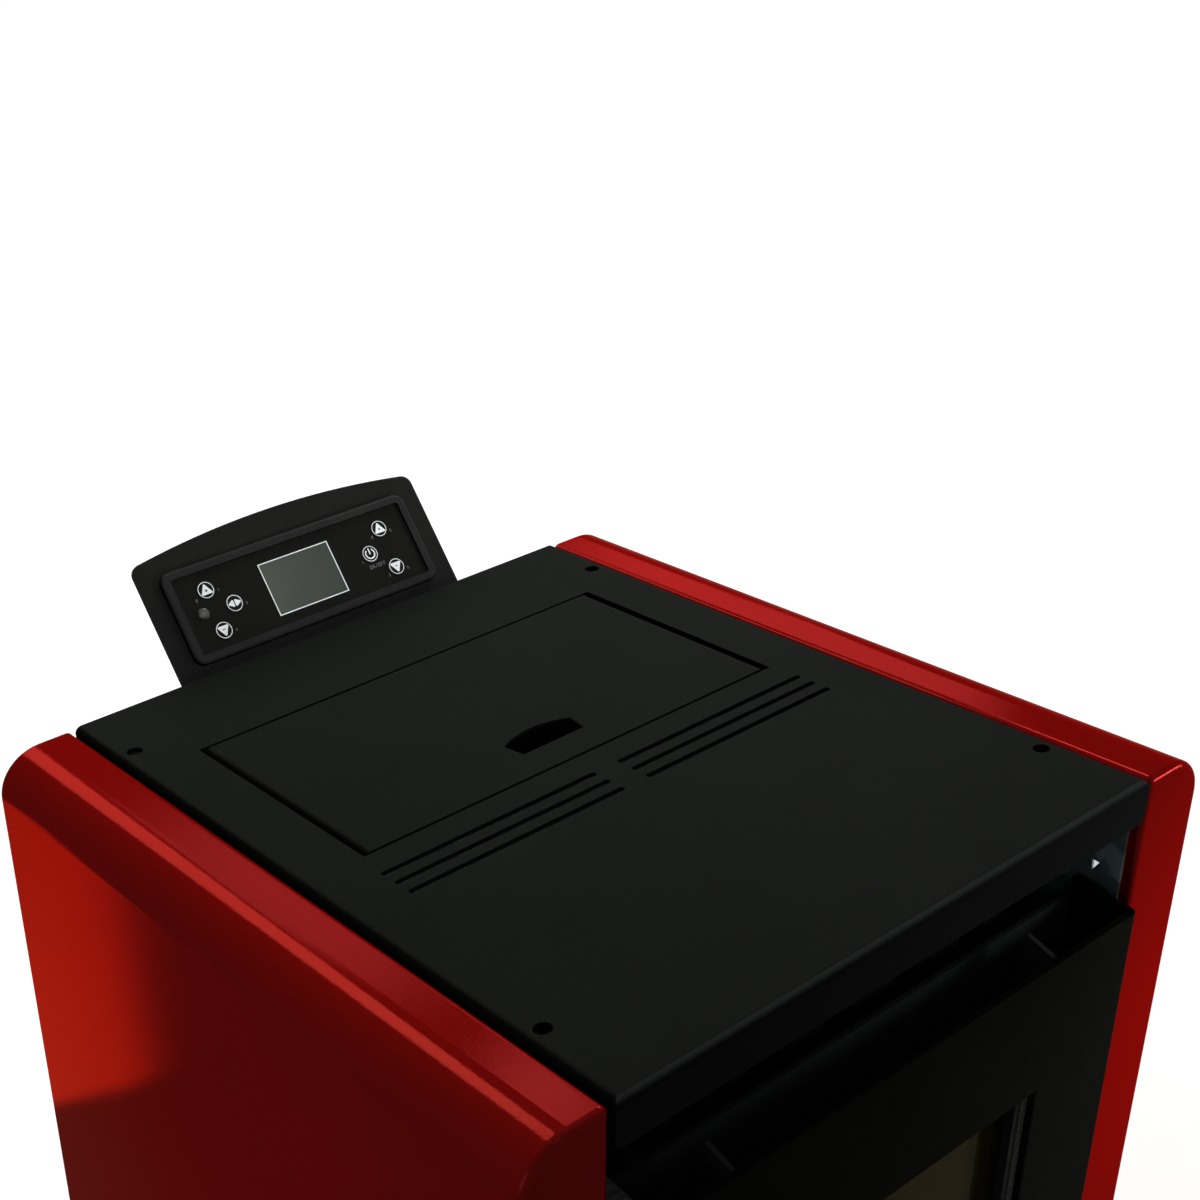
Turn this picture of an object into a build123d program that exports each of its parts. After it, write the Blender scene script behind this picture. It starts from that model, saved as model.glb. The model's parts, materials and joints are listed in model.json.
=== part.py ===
from build123d import *
import math
import os

os.makedirs("parts", exist_ok=True)

# Pellet stove. Millimetres, +Z up, the front faces -Y, the origin is on the floor
# under the middle of the whole stove. Most places are given as (x, depth, z), where
# depth is counted backwards from the front face of the red side panels.

# ------------------------------------------------------------------ whole stove
body_width = 514.0
body_depth = 540.0
front_height = 930.0
top_slope = 7.6
front_reach = 40.0
rear_reach = 80.0
foot_height = 24.0

sheet = 2.0
plate = 3.0
slide_gap = 0.4
pin_gap = 0.06
spare = 1.0

# ------------------------------------------------------------------ red side panels
panel_width = 53.0
panel_bottom = 30.0
panel_drop = 2.0
panel_corner = 30.0
panel_fold = 4.0
panel_return = 9.5
panel_lip = 10.0

# ------------------------------------------------------------------ black top plate
top_gap = 2.0
top_overlap = 4.0
top_proud = 1.5
top_flange = 12.0
top_fold = 5.0
front_lip = 30.0
lip_corner = 6.0

lid_border = 44.0
lid_length = 182.5
lid_start = 268.5
lid_gap = 2.5
lid_skirt = 14.0
lid_fold = 5.0
lid_pin = 3.0
lid_pin_head = 1.5
lid_pin_head_thick = 2.0
lid_axis_inset = 11.0
lid_axis_drop = 9.0
finger_front = 25.0
finger_depth = 24.5
finger_width = 48.0
finger_flare = 2.4
finger_arch = 8.0

slot_start = 216.4
slot_pitch = 13.05
slot_width = 4.6
slot_length = 155.5
slot_middle = 18.0
slot_rows = 3

access_hole = 10.2
access_inset = 12.0
access_front = 67.4
access_pitch = 416.0
screw_head = 4.2
screw_head_thick = 3.0
screw_length = 10.0

# ------------------------------------------------------------------ cabinet
cabinet_front = 7.5
frame_depth = 40.0
frame_drop = 18.0
chassis_flange = 20.0
base_upstand = 29.0
lower_panel_bottom = 45.0
lower_panel_height = 155.0
lower_slot_width = 6.0
lower_slot_count = 5
lower_slot_pitch = 16.0
lower_slot_length = 240.0

foot_radius = 19.0
foot_pad = 10.0
foot_stud = 4.0
foot_inset_x = 30.0
foot_inset_y = 60.0
foot_stud_rise = 12.0

wall_notch_depth = 27.5
wall_notch_drop = 73.3
wall_notch_width = 4.8
wall_notch_height = 8.4

# ------------------------------------------------------------------ ash drawer
drawer_gap = 5.0
drawer_front_height = 75.0
drawer_height = 62.0
drawer_length = 215.0
drawer_fold = 3.5
grip_width = 120.0
grip_bar = 5.0
grip_stand = 26.0

# ------------------------------------------------------------------ door
door_side_gap = 6.5
door_bottom_gap = 10.0
outlet_height = 57.0
door_proud = 11.0
door_depth = 46.0
door_face = 4.0
door_return = 2.5
window_stile = 77.5
window_foot = 150.0
window_head = 98.0
window_fold = 3.0
seal_size = 5.5
seal_step = 0.5
retainer_thick = 1.5
spacer = 7.0
spacer_step = 1.0
glass_thick = 4.0
glass_lap = 5.0
glass_gap = 0.3
inner_wall = 28.0
inner_drop = 4.0
inner_inset = 13.0
rib_inset = 7.0
rib_front = -7.0
rib_back = 14.0
rib_rise = 5.0
rib_tail = 15.0
gasket_inset = 15.0
gasket_lap = 8.0
gasket_size = 8.6

hinge_inset = 8.0
hinge_depth = -2.0
hinge_plate = 5.0
hinge_arm = 12.0
hinge_gap = 2.5
hinge_pin = 3.0
hinge_pin_length = 26.0
sleeve_radius = 4.8
sleeve_length = 24.0

handle_inset = 32.5
handle_height = 270.0
handle_shaft = 6.0
handle_length = 130.0
handle_grip = 9.0
handle_rose = 13.0
handle_rose_thick = 6.0
handle_tail = 4.0
tongue_hub = 9.0
tongue_length = 26.0
tongue_thick = 4.0
keeper_start = 12.0
keeper_width = 11.0
keeper_drop = 20.0
keeper_post = 10.0
keeper_lip = 4.0
keeper_clear = 4.0

# ------------------------------------------------------------------ firebox
mouth_border = 20.0
mouth_rise = 20.0
mouth_head = 45.0
firebox_border = 20.0
firebox_back = 230.0
ash_space = 88.0
liner = 10.0
baffle = 8.0
baffle_rise = 5.0
baffle_setback = 30.0
fireback_inset = 25.0
fireback_drop = 10.0
fireback_rib = 3.0
fireback_rib_width = 8.0
fireback_ribs = 9
fireback_margin = 10.0

tube_radius = 14.0
tube_wall = 2.0
tube_count = 5

pot_radius = 46.0
pot_wall = 4.0
pot_height = 66.0
pot_sink = 14.0
pot_gap = 2.0
pot_rim = 12.0
pot_rim_height = 5.0
pot_depth = 140.0
pot_hole = 3.0
pot_hole_rings = 3
pot_hole_pitch = 14.0
igniter_radius = 5.0
igniter_rise = 30.0
igniter_gap = 3.0
igniter_clear = 0.5
igniter_tail = 20.0
igniter_collar = 6.0

# ------------------------------------------------------------------ smoke and air
blower_depth = 425.0
exhaust_inset = 107.0
exhaust_height = 160.0
exhaust_radius = 75.0
exhaust_width = 84.0
exhaust_wheel = 60.0
convection_inset = 87.0
convection_height = 165.0
convection_radius = 80.0
convection_width = 90.0
convection_wheel = 64.0
convection_spout = 14.0
blower_wall = 2.5
blower_inlet = 35.0
wheel_setback = 14.0
wheel_width = 44.0
wheel_eye = 28.0
wheel_blades = 12
wheel_disc = 3.0
wheel_blade = 1.6
blower_shaft = 5.0
shaft_clear = 1.0
motor_radius = 34.0
motor_length = 36.0
flue_radius = 40.0
flue_wall = 2.0
flue_height = 127.0
flue_socket = 12.0
intake_radius = 25.0
intake_wall = 1.5
intake_x = 10.0
intake_height = 255.0
intake_reach = 60.0

# ------------------------------------------------------------------ hopper and auger
hopper_inset = 34.0
hopper_front = 258.0
hopper_back = 455.0
hopper_funnel = 160.0
hopper_sheet = 1.5
throat_size = 60.0
throat_setback = 60.0
throat_drop = 45.0

auger_over_intake = 90.0
auger_height = 180.0
auger_tilt = 45.0
motor_clear = 8.0
auger_tube_radius = 32.0
auger_wall = 2.0
auger_flight = 28.0
auger_shaft = 8.0
auger_pitch = 38.0
auger_blade = 3.0
auger_end_gap = 4.0
gearbox_size = 60.0
gearbox_length = 30.0
gearbox_corner = 4.0
gearmotor_radius = 21.0
gearmotor_length = 34.0
bearing_depth = 18.0
chute_size = 64.0
chute_rise = 36.0
chute_reach = 200.0
chute_tilt = 45.0

# ------------------------------------------------------------------ rear panel fittings
fittings_inset = 32.0
socket_height = 90.0
socket_width = 27.0
socket_tall = 20.0
socket_thick = 14.0
socket_rim = 4.0
contact_pitch = 6.0
contact_step = 2.0
contact_width = 2.0
contact_tall = 4.0
switch_height = 135.0
switch_width = 22.0
switch_tall = 30.0
switch_thick = 16.0
switch_rim = 2.0
switch_proud = 1.5
rocker_gap = 2.4
rocker_axis = 3.0
rocker_pin = 1.2
rocker_pin_reach = 1.0
rocker_depth = 8.0
rocker_heel = 5.0
louvre_length = 90.0
louvre_width = 5.0
louvre_pitch = 15.0
louvre_count = 6
louvre_bottom = 620.0

# ------------------------------------------------------------------ control console
console_tilt = 47.0
console_drop = 10.8
console_setback = 4.1
console_rise = 7.6
console_foot = 50.0
console_width = 234.0
console_side = 87.2
console_middle = 97.2
console_corner = 8.0
bezel_width = 204.0
bezel_height = 70.0
bezel_start = 6.0
bezel_rim = 6.5
bezel_thick = 5.0
bezel_corner = 8.0
bezel_inner_corner = 2.0
bezel_edge = 2.5
membrane_thick = 2.6
keypad_middle = 40.0
display_width = 58.3
display_height = 40.2
display_thick = 1.2
display_corner = 0.8
display_proud = 0.2
key_radius = 6.3
key_gap = 0.4
key_proud = 0.6
key_play = 1.0
key_floor = 0.6
key_outer_x = 73.0
key_inner_x = 57.3
key_pitch = 15.5
led_x = 82.0
led_radius = 4.5
led_height = 2.2
led_edge = 2.0
control_box_width = 190.0
control_box_height = 62.0
control_box_depth = 26.0
control_box_edge = 3.0

# ------------------------------------------------------------------ worked-out places
front_y = (front_reach - rear_reach - body_depth) / 2
panel_outer = body_width / 2
panel_inner = panel_outer - panel_width
top_half = panel_inner - top_gap
top_length = body_depth + top_overlap
wall_inner = panel_inner - sheet
base_top = foot_height + sheet
rear_face = body_depth - sheet
frame_back = frame_depth + plate

lid_half = top_half - lid_border
lid_axis_y = lid_start + lid_length - lid_axis_inset
lid_seat = lid_start + lid_length + lid_gap

lower_panel_top = lower_panel_bottom + lower_panel_height
drawer_front_bottom = lower_panel_top + drawer_gap
drawer_front_top = drawer_front_bottom + drawer_front_height
firebox_bottom = drawer_front_bottom - spare
drawer_low = firebox_bottom + plate + slide_gap
shelf_height = firebox_bottom + ash_space

door_half = panel_inner - door_side_gap
door_bottom = drawer_front_top + door_bottom_gap
door_top = front_height - front_lip - outlet_height
door_front = -door_proud
door_back = door_depth - door_proud
face_back = door_front + door_face
inner_top = door_top - inner_drop
inner_half = door_half - inner_inset
inner_back = inner_wall + plate

window_half = door_half - window_stile
window_bottom = door_bottom + window_foot
window_top = door_top - window_head
pane_bottom = window_bottom - glass_lap
pane_top = window_top + glass_lap
pane_half = window_half + rib_inset - plate / 2
seal_back = face_back + seal_size
retainer_back = seal_back + retainer_thick
glass_front = retainer_back + spacer
glass_back = glass_front + glass_thick

hinge_x = hinge_inset - door_half
handle_x = door_half - handle_inset
handle_z = door_bottom + handle_height
tongue_back = inner_wall - slide_gap - spare
tongue_front = tongue_back - tongue_thick

mouth_half = window_half + mouth_border
mouth_bottom = shelf_height + mouth_rise
mouth_top = window_top + mouth_head
firebox_half = mouth_half + firebox_border
frame_top = door_top - frame_drop
inside_back = firebox_back - plate
fire_floor = shelf_height + plate
fireback_half = firebox_half - fireback_inset
fireback_top = mouth_top - fireback_drop
baffle_height = mouth_top + baffle_rise
igniter_height = shelf_height + igniter_rise

exhaust_x = exhaust_inset - wall_inner
convection_x = wall_inner - convection_inset
exhaust_side = exhaust_x - exhaust_width / 2
convection_side = convection_x - convection_width / 2
flue_start = rear_face - flue_socket

sin_auger = math.sin(math.radians(auger_tilt))
cos_auger = math.cos(math.radians(auger_tilt))
motor_reach = (gearbox_length + gearmotor_length) * sin_auger + gearmotor_radius * cos_auger
auger_length = auger_height / cos_auger
auger_run = auger_length * sin_auger
auger_low_height = intake_height + auger_over_intake
auger_high_height = auger_low_height + auger_height
auger_low_depth = rear_face - motor_clear - motor_reach
auger_high_depth = auger_low_depth - auger_run
throat_depth = auger_low_depth - throat_setback
throat_height = auger_high_height - throat_drop
hopper_half = wall_inner - hopper_inset
hopper_shoulder = throat_height + hopper_funnel

fittings_x = panel_inner - fittings_inset
sin_slope = math.sin(math.radians(top_slope))
cos_slope = math.cos(math.radians(top_slope))
top_rear = front_height - body_depth * sin_slope / cos_slope
console_base = top_rear - console_drop
bezel_middle = bezel_start + bezel_height / 2
membrane_width = bezel_width - 2 * bezel_rim
membrane_height = bezel_height - 2 * bezel_rim

top_frame = Location((0, front_y, front_height), (-top_slope, 0, 0))
auger_frame = Location((0, front_y + auger_low_depth, auger_low_height), (auger_tilt, 0, 0))
chute_frame = Location((0, front_y + auger_high_depth, auger_high_height), (-chute_tilt, 0, 0))
console_place = Location(
    (0, front_y + body_depth + console_setback, console_base), (console_tilt - 90, 0, 0)
)


# ------------------------------------------------------------------ helpers
def local_block(x, y, z):
    """A box from three (low, high) pairs."""
    size = (x[1] - x[0], y[1] - y[0], z[1] - z[0])
    return Pos(sum(x) / 2, sum(y) / 2, sum(z) / 2) * Box(*size)


def block(x, depth, z):
    """The same, with the middle pair counted back from the front face."""
    return Pos(0, front_y, 0) * local_block(x, depth, z)


def past(low, high):
    """A span for a cutter that runs a little past both faces."""
    return (low - spare, high + spare)


def ring_block(half, depth, z, width):
    """An upright rectangular frame with bars of one width."""
    outer = block((-half, half), depth, z)
    return outer - block((width - half, half - width), past(*depth), (z[0] + width, z[1] - width))


def rod(radius, start, end):
    """A round bar between two (x, depth, z) points."""
    a = Vector(start[0], front_y + start[1], start[2])
    b = Vector(end[0], front_y + end[1], end[2])
    base = Plane(origin=a, z_dir=b - a)
    return base * Cylinder(radius, (b - a).length, align=(Align.CENTER, Align.CENTER, Align.MIN))


def across(radius, low, high, depth, z):
    """A round bar along X."""
    return rod(radius, (low, depth, z), (high, depth, z))


def along(radius, x, low, high, z):
    """A round bar along the depth."""
    return rod(radius, (x, low, z), (x, high, z))


def upright(radius, x, depth, low, high):
    return rod(radius, (x, depth, low), (x, depth, high))


def slot_along_x(length, width, x, depth, z):
    """A cutter for a round-ended slot that lies along X in an upright wall."""
    cutter = extrude(SlotOverall(length, width), amount=door_depth / 2, both=True)
    return Pos(x, front_y + depth, z) * Rot(90, 0, 0) * cutter


def flipped(solid):
    return mirror(solid, about=Plane.YZ)


def below_top(drop):
    """All of the space more than a given drop under the sloping top."""
    reach = 2 * body_width
    return top_frame * local_block((-reach, reach), (-reach, 2 * reach), (-2 * reach, -drop))


def top_corners():
    """The four screw places on the top plate, in its own frame."""
    reach = top_half - access_inset
    return [
        (side * reach, depth)
        for side in (-1, 1)
        for depth in (access_front, access_front + access_pitch)
    ]


def foot_places():
    reach = panel_inner - foot_inset_x
    return [
        (side * reach, depth)
        for side in (-1, 1)
        for depth in (foot_inset_y, body_depth - foot_inset_y)
    ]


def write(name, *solids):
    shape = solids[0] if len(solids) == 1 else Compound(children=list(solids))
    export_step(shape, f"parts/{name}.step")


# ------------------------------------------------------------------ side panels
def panel_prism(inset):
    """The panel's filled section, run along the slope of the top, inset from its skin."""
    width = panel_width - inset
    tall = 2 * front_height
    section = Pos(panel_inner + width / 2, -panel_drop - inset - tall / 2) * Rectangle(width, tall)
    corner = section.vertices().group_by(Axis.Y)[-1].sort_by(Axis.X)[-1]
    section = fillet(corner, panel_corner - inset)
    return top_frame * extrude(Plane.XZ * section, amount=2 * body_depth, both=True)


def side_panel():
    skin = panel_prism(0) & block(
        past(panel_inner, panel_outer), (0, body_depth), (panel_bottom, front_height)
    )
    front = [
        e
        for e in skin.faces().sort_by(Axis.Y)[0].edges()
        if e.center().Z > panel_bottom + spare
    ]
    inner_top = [
        e
        for e in skin.faces().sort_by(Axis.X)[0].edges()
        if e.center().Z > front_height / 2 and e.length > body_depth * 0.9
    ]
    skin = fillet(front + inner_top, panel_fold)
    inside = panel_prism(sheet) & block(
        (panel_inner + sheet, panel_outer), (sheet, body_depth + spare), (0, front_height)
    )
    open_side = below_top(panel_drop + panel_lip) & block(
        past(panel_inner, panel_inner + sheet), (panel_return, body_depth + spare), (0, front_height)
    )
    return skin - inside - open_side


# ------------------------------------------------------------------ top plate and lid
def top_shell():
    """Bent plate: a sloping top with folded sides and back, and an upright front lip."""
    reach = (-top_half, top_half)
    slab = top_frame * local_block(reach, (-front_lip, top_length), (-top_flange, 0))
    slab = slab & block(reach, (-top_proud, 2 * body_depth), (0, front_height + front_lip))
    lip = block(
        reach, (-top_proud, plate - top_proud), (front_height - front_lip, front_height - top_flange / 2)
    )
    shell = slab + lip
    top_face = shell.faces().sort_by(Axis((0, 0, 0), (0, sin_slope, cos_slope)))[-1]
    folds = [e for e in top_face.edges() if e.center().Y < front_y + body_depth * 0.95]
    shell = fillet(folds, top_fold)
    corners = [
        e for e in shell.edges().filter_by(Axis.Y) if e.center().Z < front_height - front_lip + spare
    ]
    shell = fillet(corners, lip_corner)
    inside = top_frame * local_block(
        (plate - top_half, top_half - plate), (-front_lip, top_length - plate), (-2 * front_lip, -plate)
    )
    inside = inside & block(reach, (plate - top_proud, 2 * body_depth), (0, front_height))
    return shell - inside


def lid_bore(radius, length):
    """The lid's hinge line as a bar along X, in the top plate's own frame."""
    return Pos(0, lid_axis_y, -lid_axis_drop) * Rot(0, 90, 0) * Cylinder(radius, length)


def top_plate():
    half = lid_half + lid_gap
    start = lid_start - lid_gap
    shell = top_shell()
    openings = local_block((-half, half), (start, lid_seat), (-2 * top_flange, spare))
    for side in (-1, 1):
        span = sorted((side * half, side * (half + plate)))
        shell += top_frame * local_block(span, (start, lid_seat), (-lid_skirt, -spare))
        for row in range(slot_rows):
            slot = extrude(SlotOverall(slot_length, slot_width), amount=2 * plate, both=True)
            x = side * (slot_middle + slot_length) / 2
            openings += Pos(x, slot_start + row * slot_pitch, 0) * slot
    openings += lid_bore(lid_pin, 2 * (half + 2 * plate))
    for x, y in top_corners():
        openings += Pos(x, y, 0) * Cylinder(access_hole / 2, 3 * plate)
    return shell - top_frame * openings


def finger_hole():
    """Straight front edge, sides that open backwards and an arched back edge."""
    half = finger_width / 2
    wide = half + finger_flare
    front = lid_start + finger_front
    back = front + finger_depth
    side = back - finger_arch
    edges = Polyline((-wide, side), (-half, front), (half, front), (wide, side))
    arch = ThreePointArc((wide, side), (0, back), (-wide, side))
    return extrude(make_face(Curve() + [edges, arch]), amount=2 * lid_skirt, both=True)


def hopper_lid():
    end = lid_start + lid_length
    lid = local_block((-lid_half, lid_half), (lid_start, end), (-lid_skirt, 0))
    rolled = lid.faces().sort_by(Axis.Z)[-1].edges().filter_by(Axis.Y)
    lid = fillet(rolled, lid_fold)
    hollow = local_block(
        (sheet - lid_half, lid_half - sheet), past(lid_start, end), (-lid_skirt - spare, -sheet)
    )
    inner_folds = hollow.faces().sort_by(Axis.Z)[-1].edges().filter_by(Axis.Y)
    lid -= fillet(inner_folds, lid_fold - sheet)
    lid -= finger_hole()
    lid -= lid_bore(lid_pin + pin_gap, 2 * (lid_half + spare))
    return top_frame * lid


def lid_pins():
    """A headed pin on each side of the opening carries one side of the lid."""
    outer = lid_half + lid_gap + plate
    inner = lid_half - sheet - slide_gap
    base = (Align.CENTER, Align.CENTER, Align.MIN)
    pins = []
    for side in (-1, 1):
        place = Pos(0, lid_axis_y, -lid_axis_drop) * Rot(0, side * 90, 0)
        pin = Pos(0, 0, inner) * Cylinder(lid_pin, outer - inner, align=base)
        cap = Cylinder(lid_pin + lid_pin_head, lid_pin_head_thick, align=base)
        head = Pos(0, 0, inner - lid_pin_head_thick) * cap
        nut = Pos(0, 0, outer) * cap
        pins.append(top_frame * (place * (pin + head + nut)))
    return pins


def top_screws():
    head = Cylinder(screw_head, screw_head_thick, align=(Align.CENTER, Align.CENTER, Align.MIN))
    shank = Cylinder(screw_head / 2, screw_length, align=(Align.CENTER, Align.CENTER, Align.MAX))
    return [top_frame * (Pos(x, y, -top_flange) * (head + shank)) for x, y in top_corners()]


# ------------------------------------------------------------------ cabinet sheet
def base_plate():
    tray = block((-panel_inner, panel_inner), (cabinet_front, rear_face), (foot_height, base_top))
    half = wall_inner - chassis_flange
    tray += block(
        (-half, half), (cabinet_front, cabinet_front + sheet), (base_top, base_top + base_upstand)
    )
    for x, depth in foot_places():
        tray -= upright(foot_stud, x, depth, *past(foot_height, base_top))
    return tray


def feet():
    solids = []
    for x, depth in foot_places():
        pad = upright(foot_radius, x, depth, 0, foot_pad)
        nut = upright(2 * foot_stud, x, depth, foot_pad, foot_height)
        stud = upright(foot_stud, x, depth, foot_height, base_top + foot_stud_rise)
        solids.append(pad + nut + stud)
    return solids


def wall_notch():
    """A small three-cornered hole near the front of each cabinet wall."""
    outline = Polyline((-wall_notch_width, 0), (0, 0), (0, -wall_notch_height), (-wall_notch_width, 0))
    cutter = extrude(Plane.YZ * make_face(outline), amount=panel_outer)
    return Pos(0, front_y + wall_notch_depth, front_height - wall_notch_drop) * cutter


def chassis_wall():
    """Side wall of the inner cabinet with its top ledge and its folded lower front."""
    wall = block((wall_inner, panel_inner), (cabinet_front, rear_face), (base_top, front_height))
    wall = wall & below_top(top_flange)
    ledge = block((panel_inner - chassis_flange, wall_inner), (frame_depth, rear_face), (0, front_height))
    ledge = ledge & (below_top(top_flange) - below_top(top_flange + sheet))
    foot = block(
        (wall_inner - chassis_flange, wall_inner),
        (cabinet_front, cabinet_front + sheet),
        (base_top, lower_panel_top),
    )
    wall = wall + ledge + foot - wall_notch()
    for x, y in top_corners():
        wall -= top_frame * (Pos(x, y, -top_flange) * Cylinder(screw_head / 2, 5 * sheet))
    return wall


def front_frame():
    frame = block((-wall_inner, wall_inner), (frame_depth, frame_back), (base_top, frame_top))
    frame -= block((-mouth_half, mouth_half), past(frame_depth, frame_back), (mouth_bottom, mouth_top))
    side = mouth_half + plate
    top = drawer_low + drawer_height + plate
    return frame - block((-side, side), past(frame_depth, frame_back), (firebox_bottom + plate, top))


def lower_front_panel():
    half = door_half
    panel = block((-half, half), (door_front, cabinet_front), (lower_panel_bottom, lower_panel_top))
    panel = fillet(panel.faces().sort_by(Axis.Y)[0].edges().filter_by(Axis.Z), door_face)
    panel -= block(
        (door_return - half, half - door_return),
        (door_front + sheet, cabinet_front + spare),
        (lower_panel_bottom + sheet, lower_panel_top - sheet),
    )
    middle = (lower_panel_bottom + lower_panel_top) / 2
    for row in range(lower_slot_count):
        z = middle + (row - (lower_slot_count - 1) / 2) * lower_slot_pitch
        panel -= slot_along_x(lower_slot_length, lower_slot_width, 0, door_front, z)
    return panel


def rear_panel():
    top = top_rear - top_flange - 2 * sheet
    span = (rear_face, body_depth)
    middle = block((-panel_inner, panel_inner), span, (base_top, top))
    wing = panel_prism(sheet) & block(
        (panel_inner, panel_outer), span, (max(base_top, panel_bottom), top)
    )
    panel = middle + wing + flipped(wing)
    panel -= along(flue_radius, exhaust_x, *past(*span), flue_height)
    panel -= along(intake_radius, intake_x, *past(*span), intake_height)
    for width, tall, z in (
        (socket_width, socket_tall, socket_height),
        (switch_width, switch_tall, switch_height),
    ):
        across_x = (fittings_x - width / 2, fittings_x + width / 2)
        panel -= block(across_x, past(*span), (z - tall / 2, z + tall / 2))
    for side in (-1, 1):
        for row in range(louvre_count):
            z = louvre_bottom + row * louvre_pitch
            panel -= slot_along_x(louvre_length, louvre_width, side * louvre_length, body_depth, z)
    return panel


# ------------------------------------------------------------------ firebox
def chute_bar(half, drop, rise):
    return chute_frame * local_block((-half, half), (-half, half), (-drop, rise))


def firebox_shell():
    half = firebox_half
    shell = block((-half, half), (frame_back, firebox_back), (firebox_bottom, frame_top))
    ash_chamber = (firebox_bottom + plate, shelf_height - plate)
    fire_chamber = (fire_floor, frame_top - plate)
    for chamber in (ash_chamber, fire_chamber):
        shell -= block((plate - half, half - plate), (frame_back - spare, inside_back), chamber)
    shell -= upright(pot_radius + pot_gap, 0, pot_depth, *past(shelf_height - plate, fire_floor))
    shell -= chute_bar(chute_size / 2, chute_reach, chute_rise)
    shell -= along(igniter_radius, 0, *past(inside_back, firebox_back), igniter_height)
    bore = intake_radius - intake_wall
    return shell - along(bore, intake_x, *past(inside_back, firebox_back), intake_height)


def fireback_plate():
    half = fireback_half
    front = inside_back - liner
    body = block((-half, half), (front, inside_back), (fire_floor, fireback_top))
    for rib in range(fireback_ribs):
        x = (rib - (fireback_ribs - 1) / 2) * 2 * half / fireback_ribs
        body += block(
            (x - fireback_rib_width / 2, x + fireback_rib_width / 2),
            (front - fireback_rib, front),
            (fire_floor + fireback_margin, fireback_top - fireback_margin),
        )
    body -= chute_bar(chute_size / 2 + slide_gap, chute_reach, chute_rise)
    bore = igniter_radius + igniter_clear
    return body - along(bore, 0, *past(front - fireback_rib, inside_back), igniter_height)


def firebox_liners():
    """Two side liners and the baffle that lies on them."""
    outer = firebox_half - plate
    back = inside_back - liner - fireback_rib
    side = block((outer - liner, outer), (frame_back, back), (fire_floor, baffle_height))
    top = block(
        (-outer, outer), (frame_back + baffle_setback, back), (baffle_height, baffle_height + baffle)
    )
    return [side, flipped(side), top]


def heat_exchanger():
    """A row of air tubes on the firebox, between a cross plate at each end."""
    z = frame_top + tube_radius + plate
    top = z + tube_radius + plate
    front = (frame_back, frame_back + sheet)
    back = (firebox_back - sheet, firebox_back)
    plates = [block((-mouth_half, mouth_half), span, (frame_top, top)) for span in (front, back)]
    pitch = 2 * mouth_half / tube_count
    tubes = []
    for number in range(tube_count):
        x = (number - (tube_count - 1) / 2) * pitch
        bore = along(tube_radius - tube_wall, x, *past(frame_back, firebox_back), z)
        plates = [cross_plate - bore for cross_plate in plates]
        tubes.append(along(tube_radius, x, front[1], back[0], z) - bore)
    return plates + tubes


def burn_pot():
    """A cup with a rim that rests in the shelf, and air holes in its floor."""
    low = shelf_height - pot_sink
    top = low + pot_height
    pot = upright(pot_radius, 0, pot_depth, low, top)
    pot += upright(pot_radius + pot_rim, 0, pot_depth, fire_floor, fire_floor + pot_rim_height)
    pot -= upright(pot_radius - pot_wall, 0, pot_depth, low + pot_wall, top + spare)
    for ring in range(pot_hole_rings):
        count = max(1, 6 * ring)
        for hole in range(count):
            angle = math.radians(360 * hole / count)
            x = ring * pot_hole_pitch * math.cos(angle)
            depth = pot_depth + ring * pot_hole_pitch * math.sin(angle)
            pot -= upright(pot_hole, x, depth, *past(low, low + pot_wall))
    return pot


def igniter():
    tip = pot_depth + pot_radius + igniter_gap
    heater = along(igniter_radius, 0, tip, firebox_back + igniter_tail, igniter_height)
    return heater + along(
        2 * igniter_radius, 0, firebox_back, firebox_back + igniter_collar, igniter_height
    )


# ------------------------------------------------------------------ ash drawer
def ash_drawer():
    half = mouth_half
    high = drawer_low + drawer_height
    box = block((-half, half), (face_back, drawer_length), (drawer_low, high))
    box -= block(
        (sheet - half, half - sheet),
        (face_back + sheet, drawer_length - sheet),
        (drawer_low + sheet, high + spare),
    )
    front = block((-door_half, door_half), (door_front, face_back), (drawer_front_bottom, drawer_front_top))
    front = fillet(front.faces().sort_by(Axis.Y)[0].edges().filter_by(Axis.Z), drawer_fold)
    return box + front


def drawer_grip():
    """A bow handle: a round bar on two posts."""
    half = grip_width / 2
    z = (drawer_front_bottom + drawer_front_top) / 2
    front = door_front - grip_stand + grip_bar
    grip = across(grip_bar, -half, half, front, z)
    for side in (-1, 1):
        grip += Pos(side * half, front_y + front, z) * Sphere(grip_bar)
        grip += along(grip_bar, side * (half - grip_bar), front, door_front, z)
    return grip


# ------------------------------------------------------------------ door
def door_cover():
    outer = block((-door_half, door_half), (door_front, door_back), (door_bottom, door_top))
    cover = fillet(outer.faces().sort_by(Axis.Y)[0].edges().filter_by(Axis.Z), door_face)
    cover -= block(
        (door_return - door_half, door_half - door_return),
        (face_back, door_back + spare),
        (door_bottom + door_return, door_top + spare),
    )
    face = past(door_front, face_back)
    cover -= block((-window_half, window_half), face, (window_bottom, window_top))
    rim = [
        e
        for e in cover.faces().filter_by(Axis.Y).sort_by(Axis.Y)[0].edges()
        if abs(e.center().X) < window_half + spare
        and window_bottom - spare < e.center().Z < window_top + spare
    ]
    cover = fillet(rim, window_fold)
    cover -= along(handle_shaft + pin_gap, handle_x, *face, handle_z)
    floor = past(door_bottom, door_bottom + door_return)
    return cover - upright(hinge_pin + pin_gap, hinge_x, hinge_depth, *floor)


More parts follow.
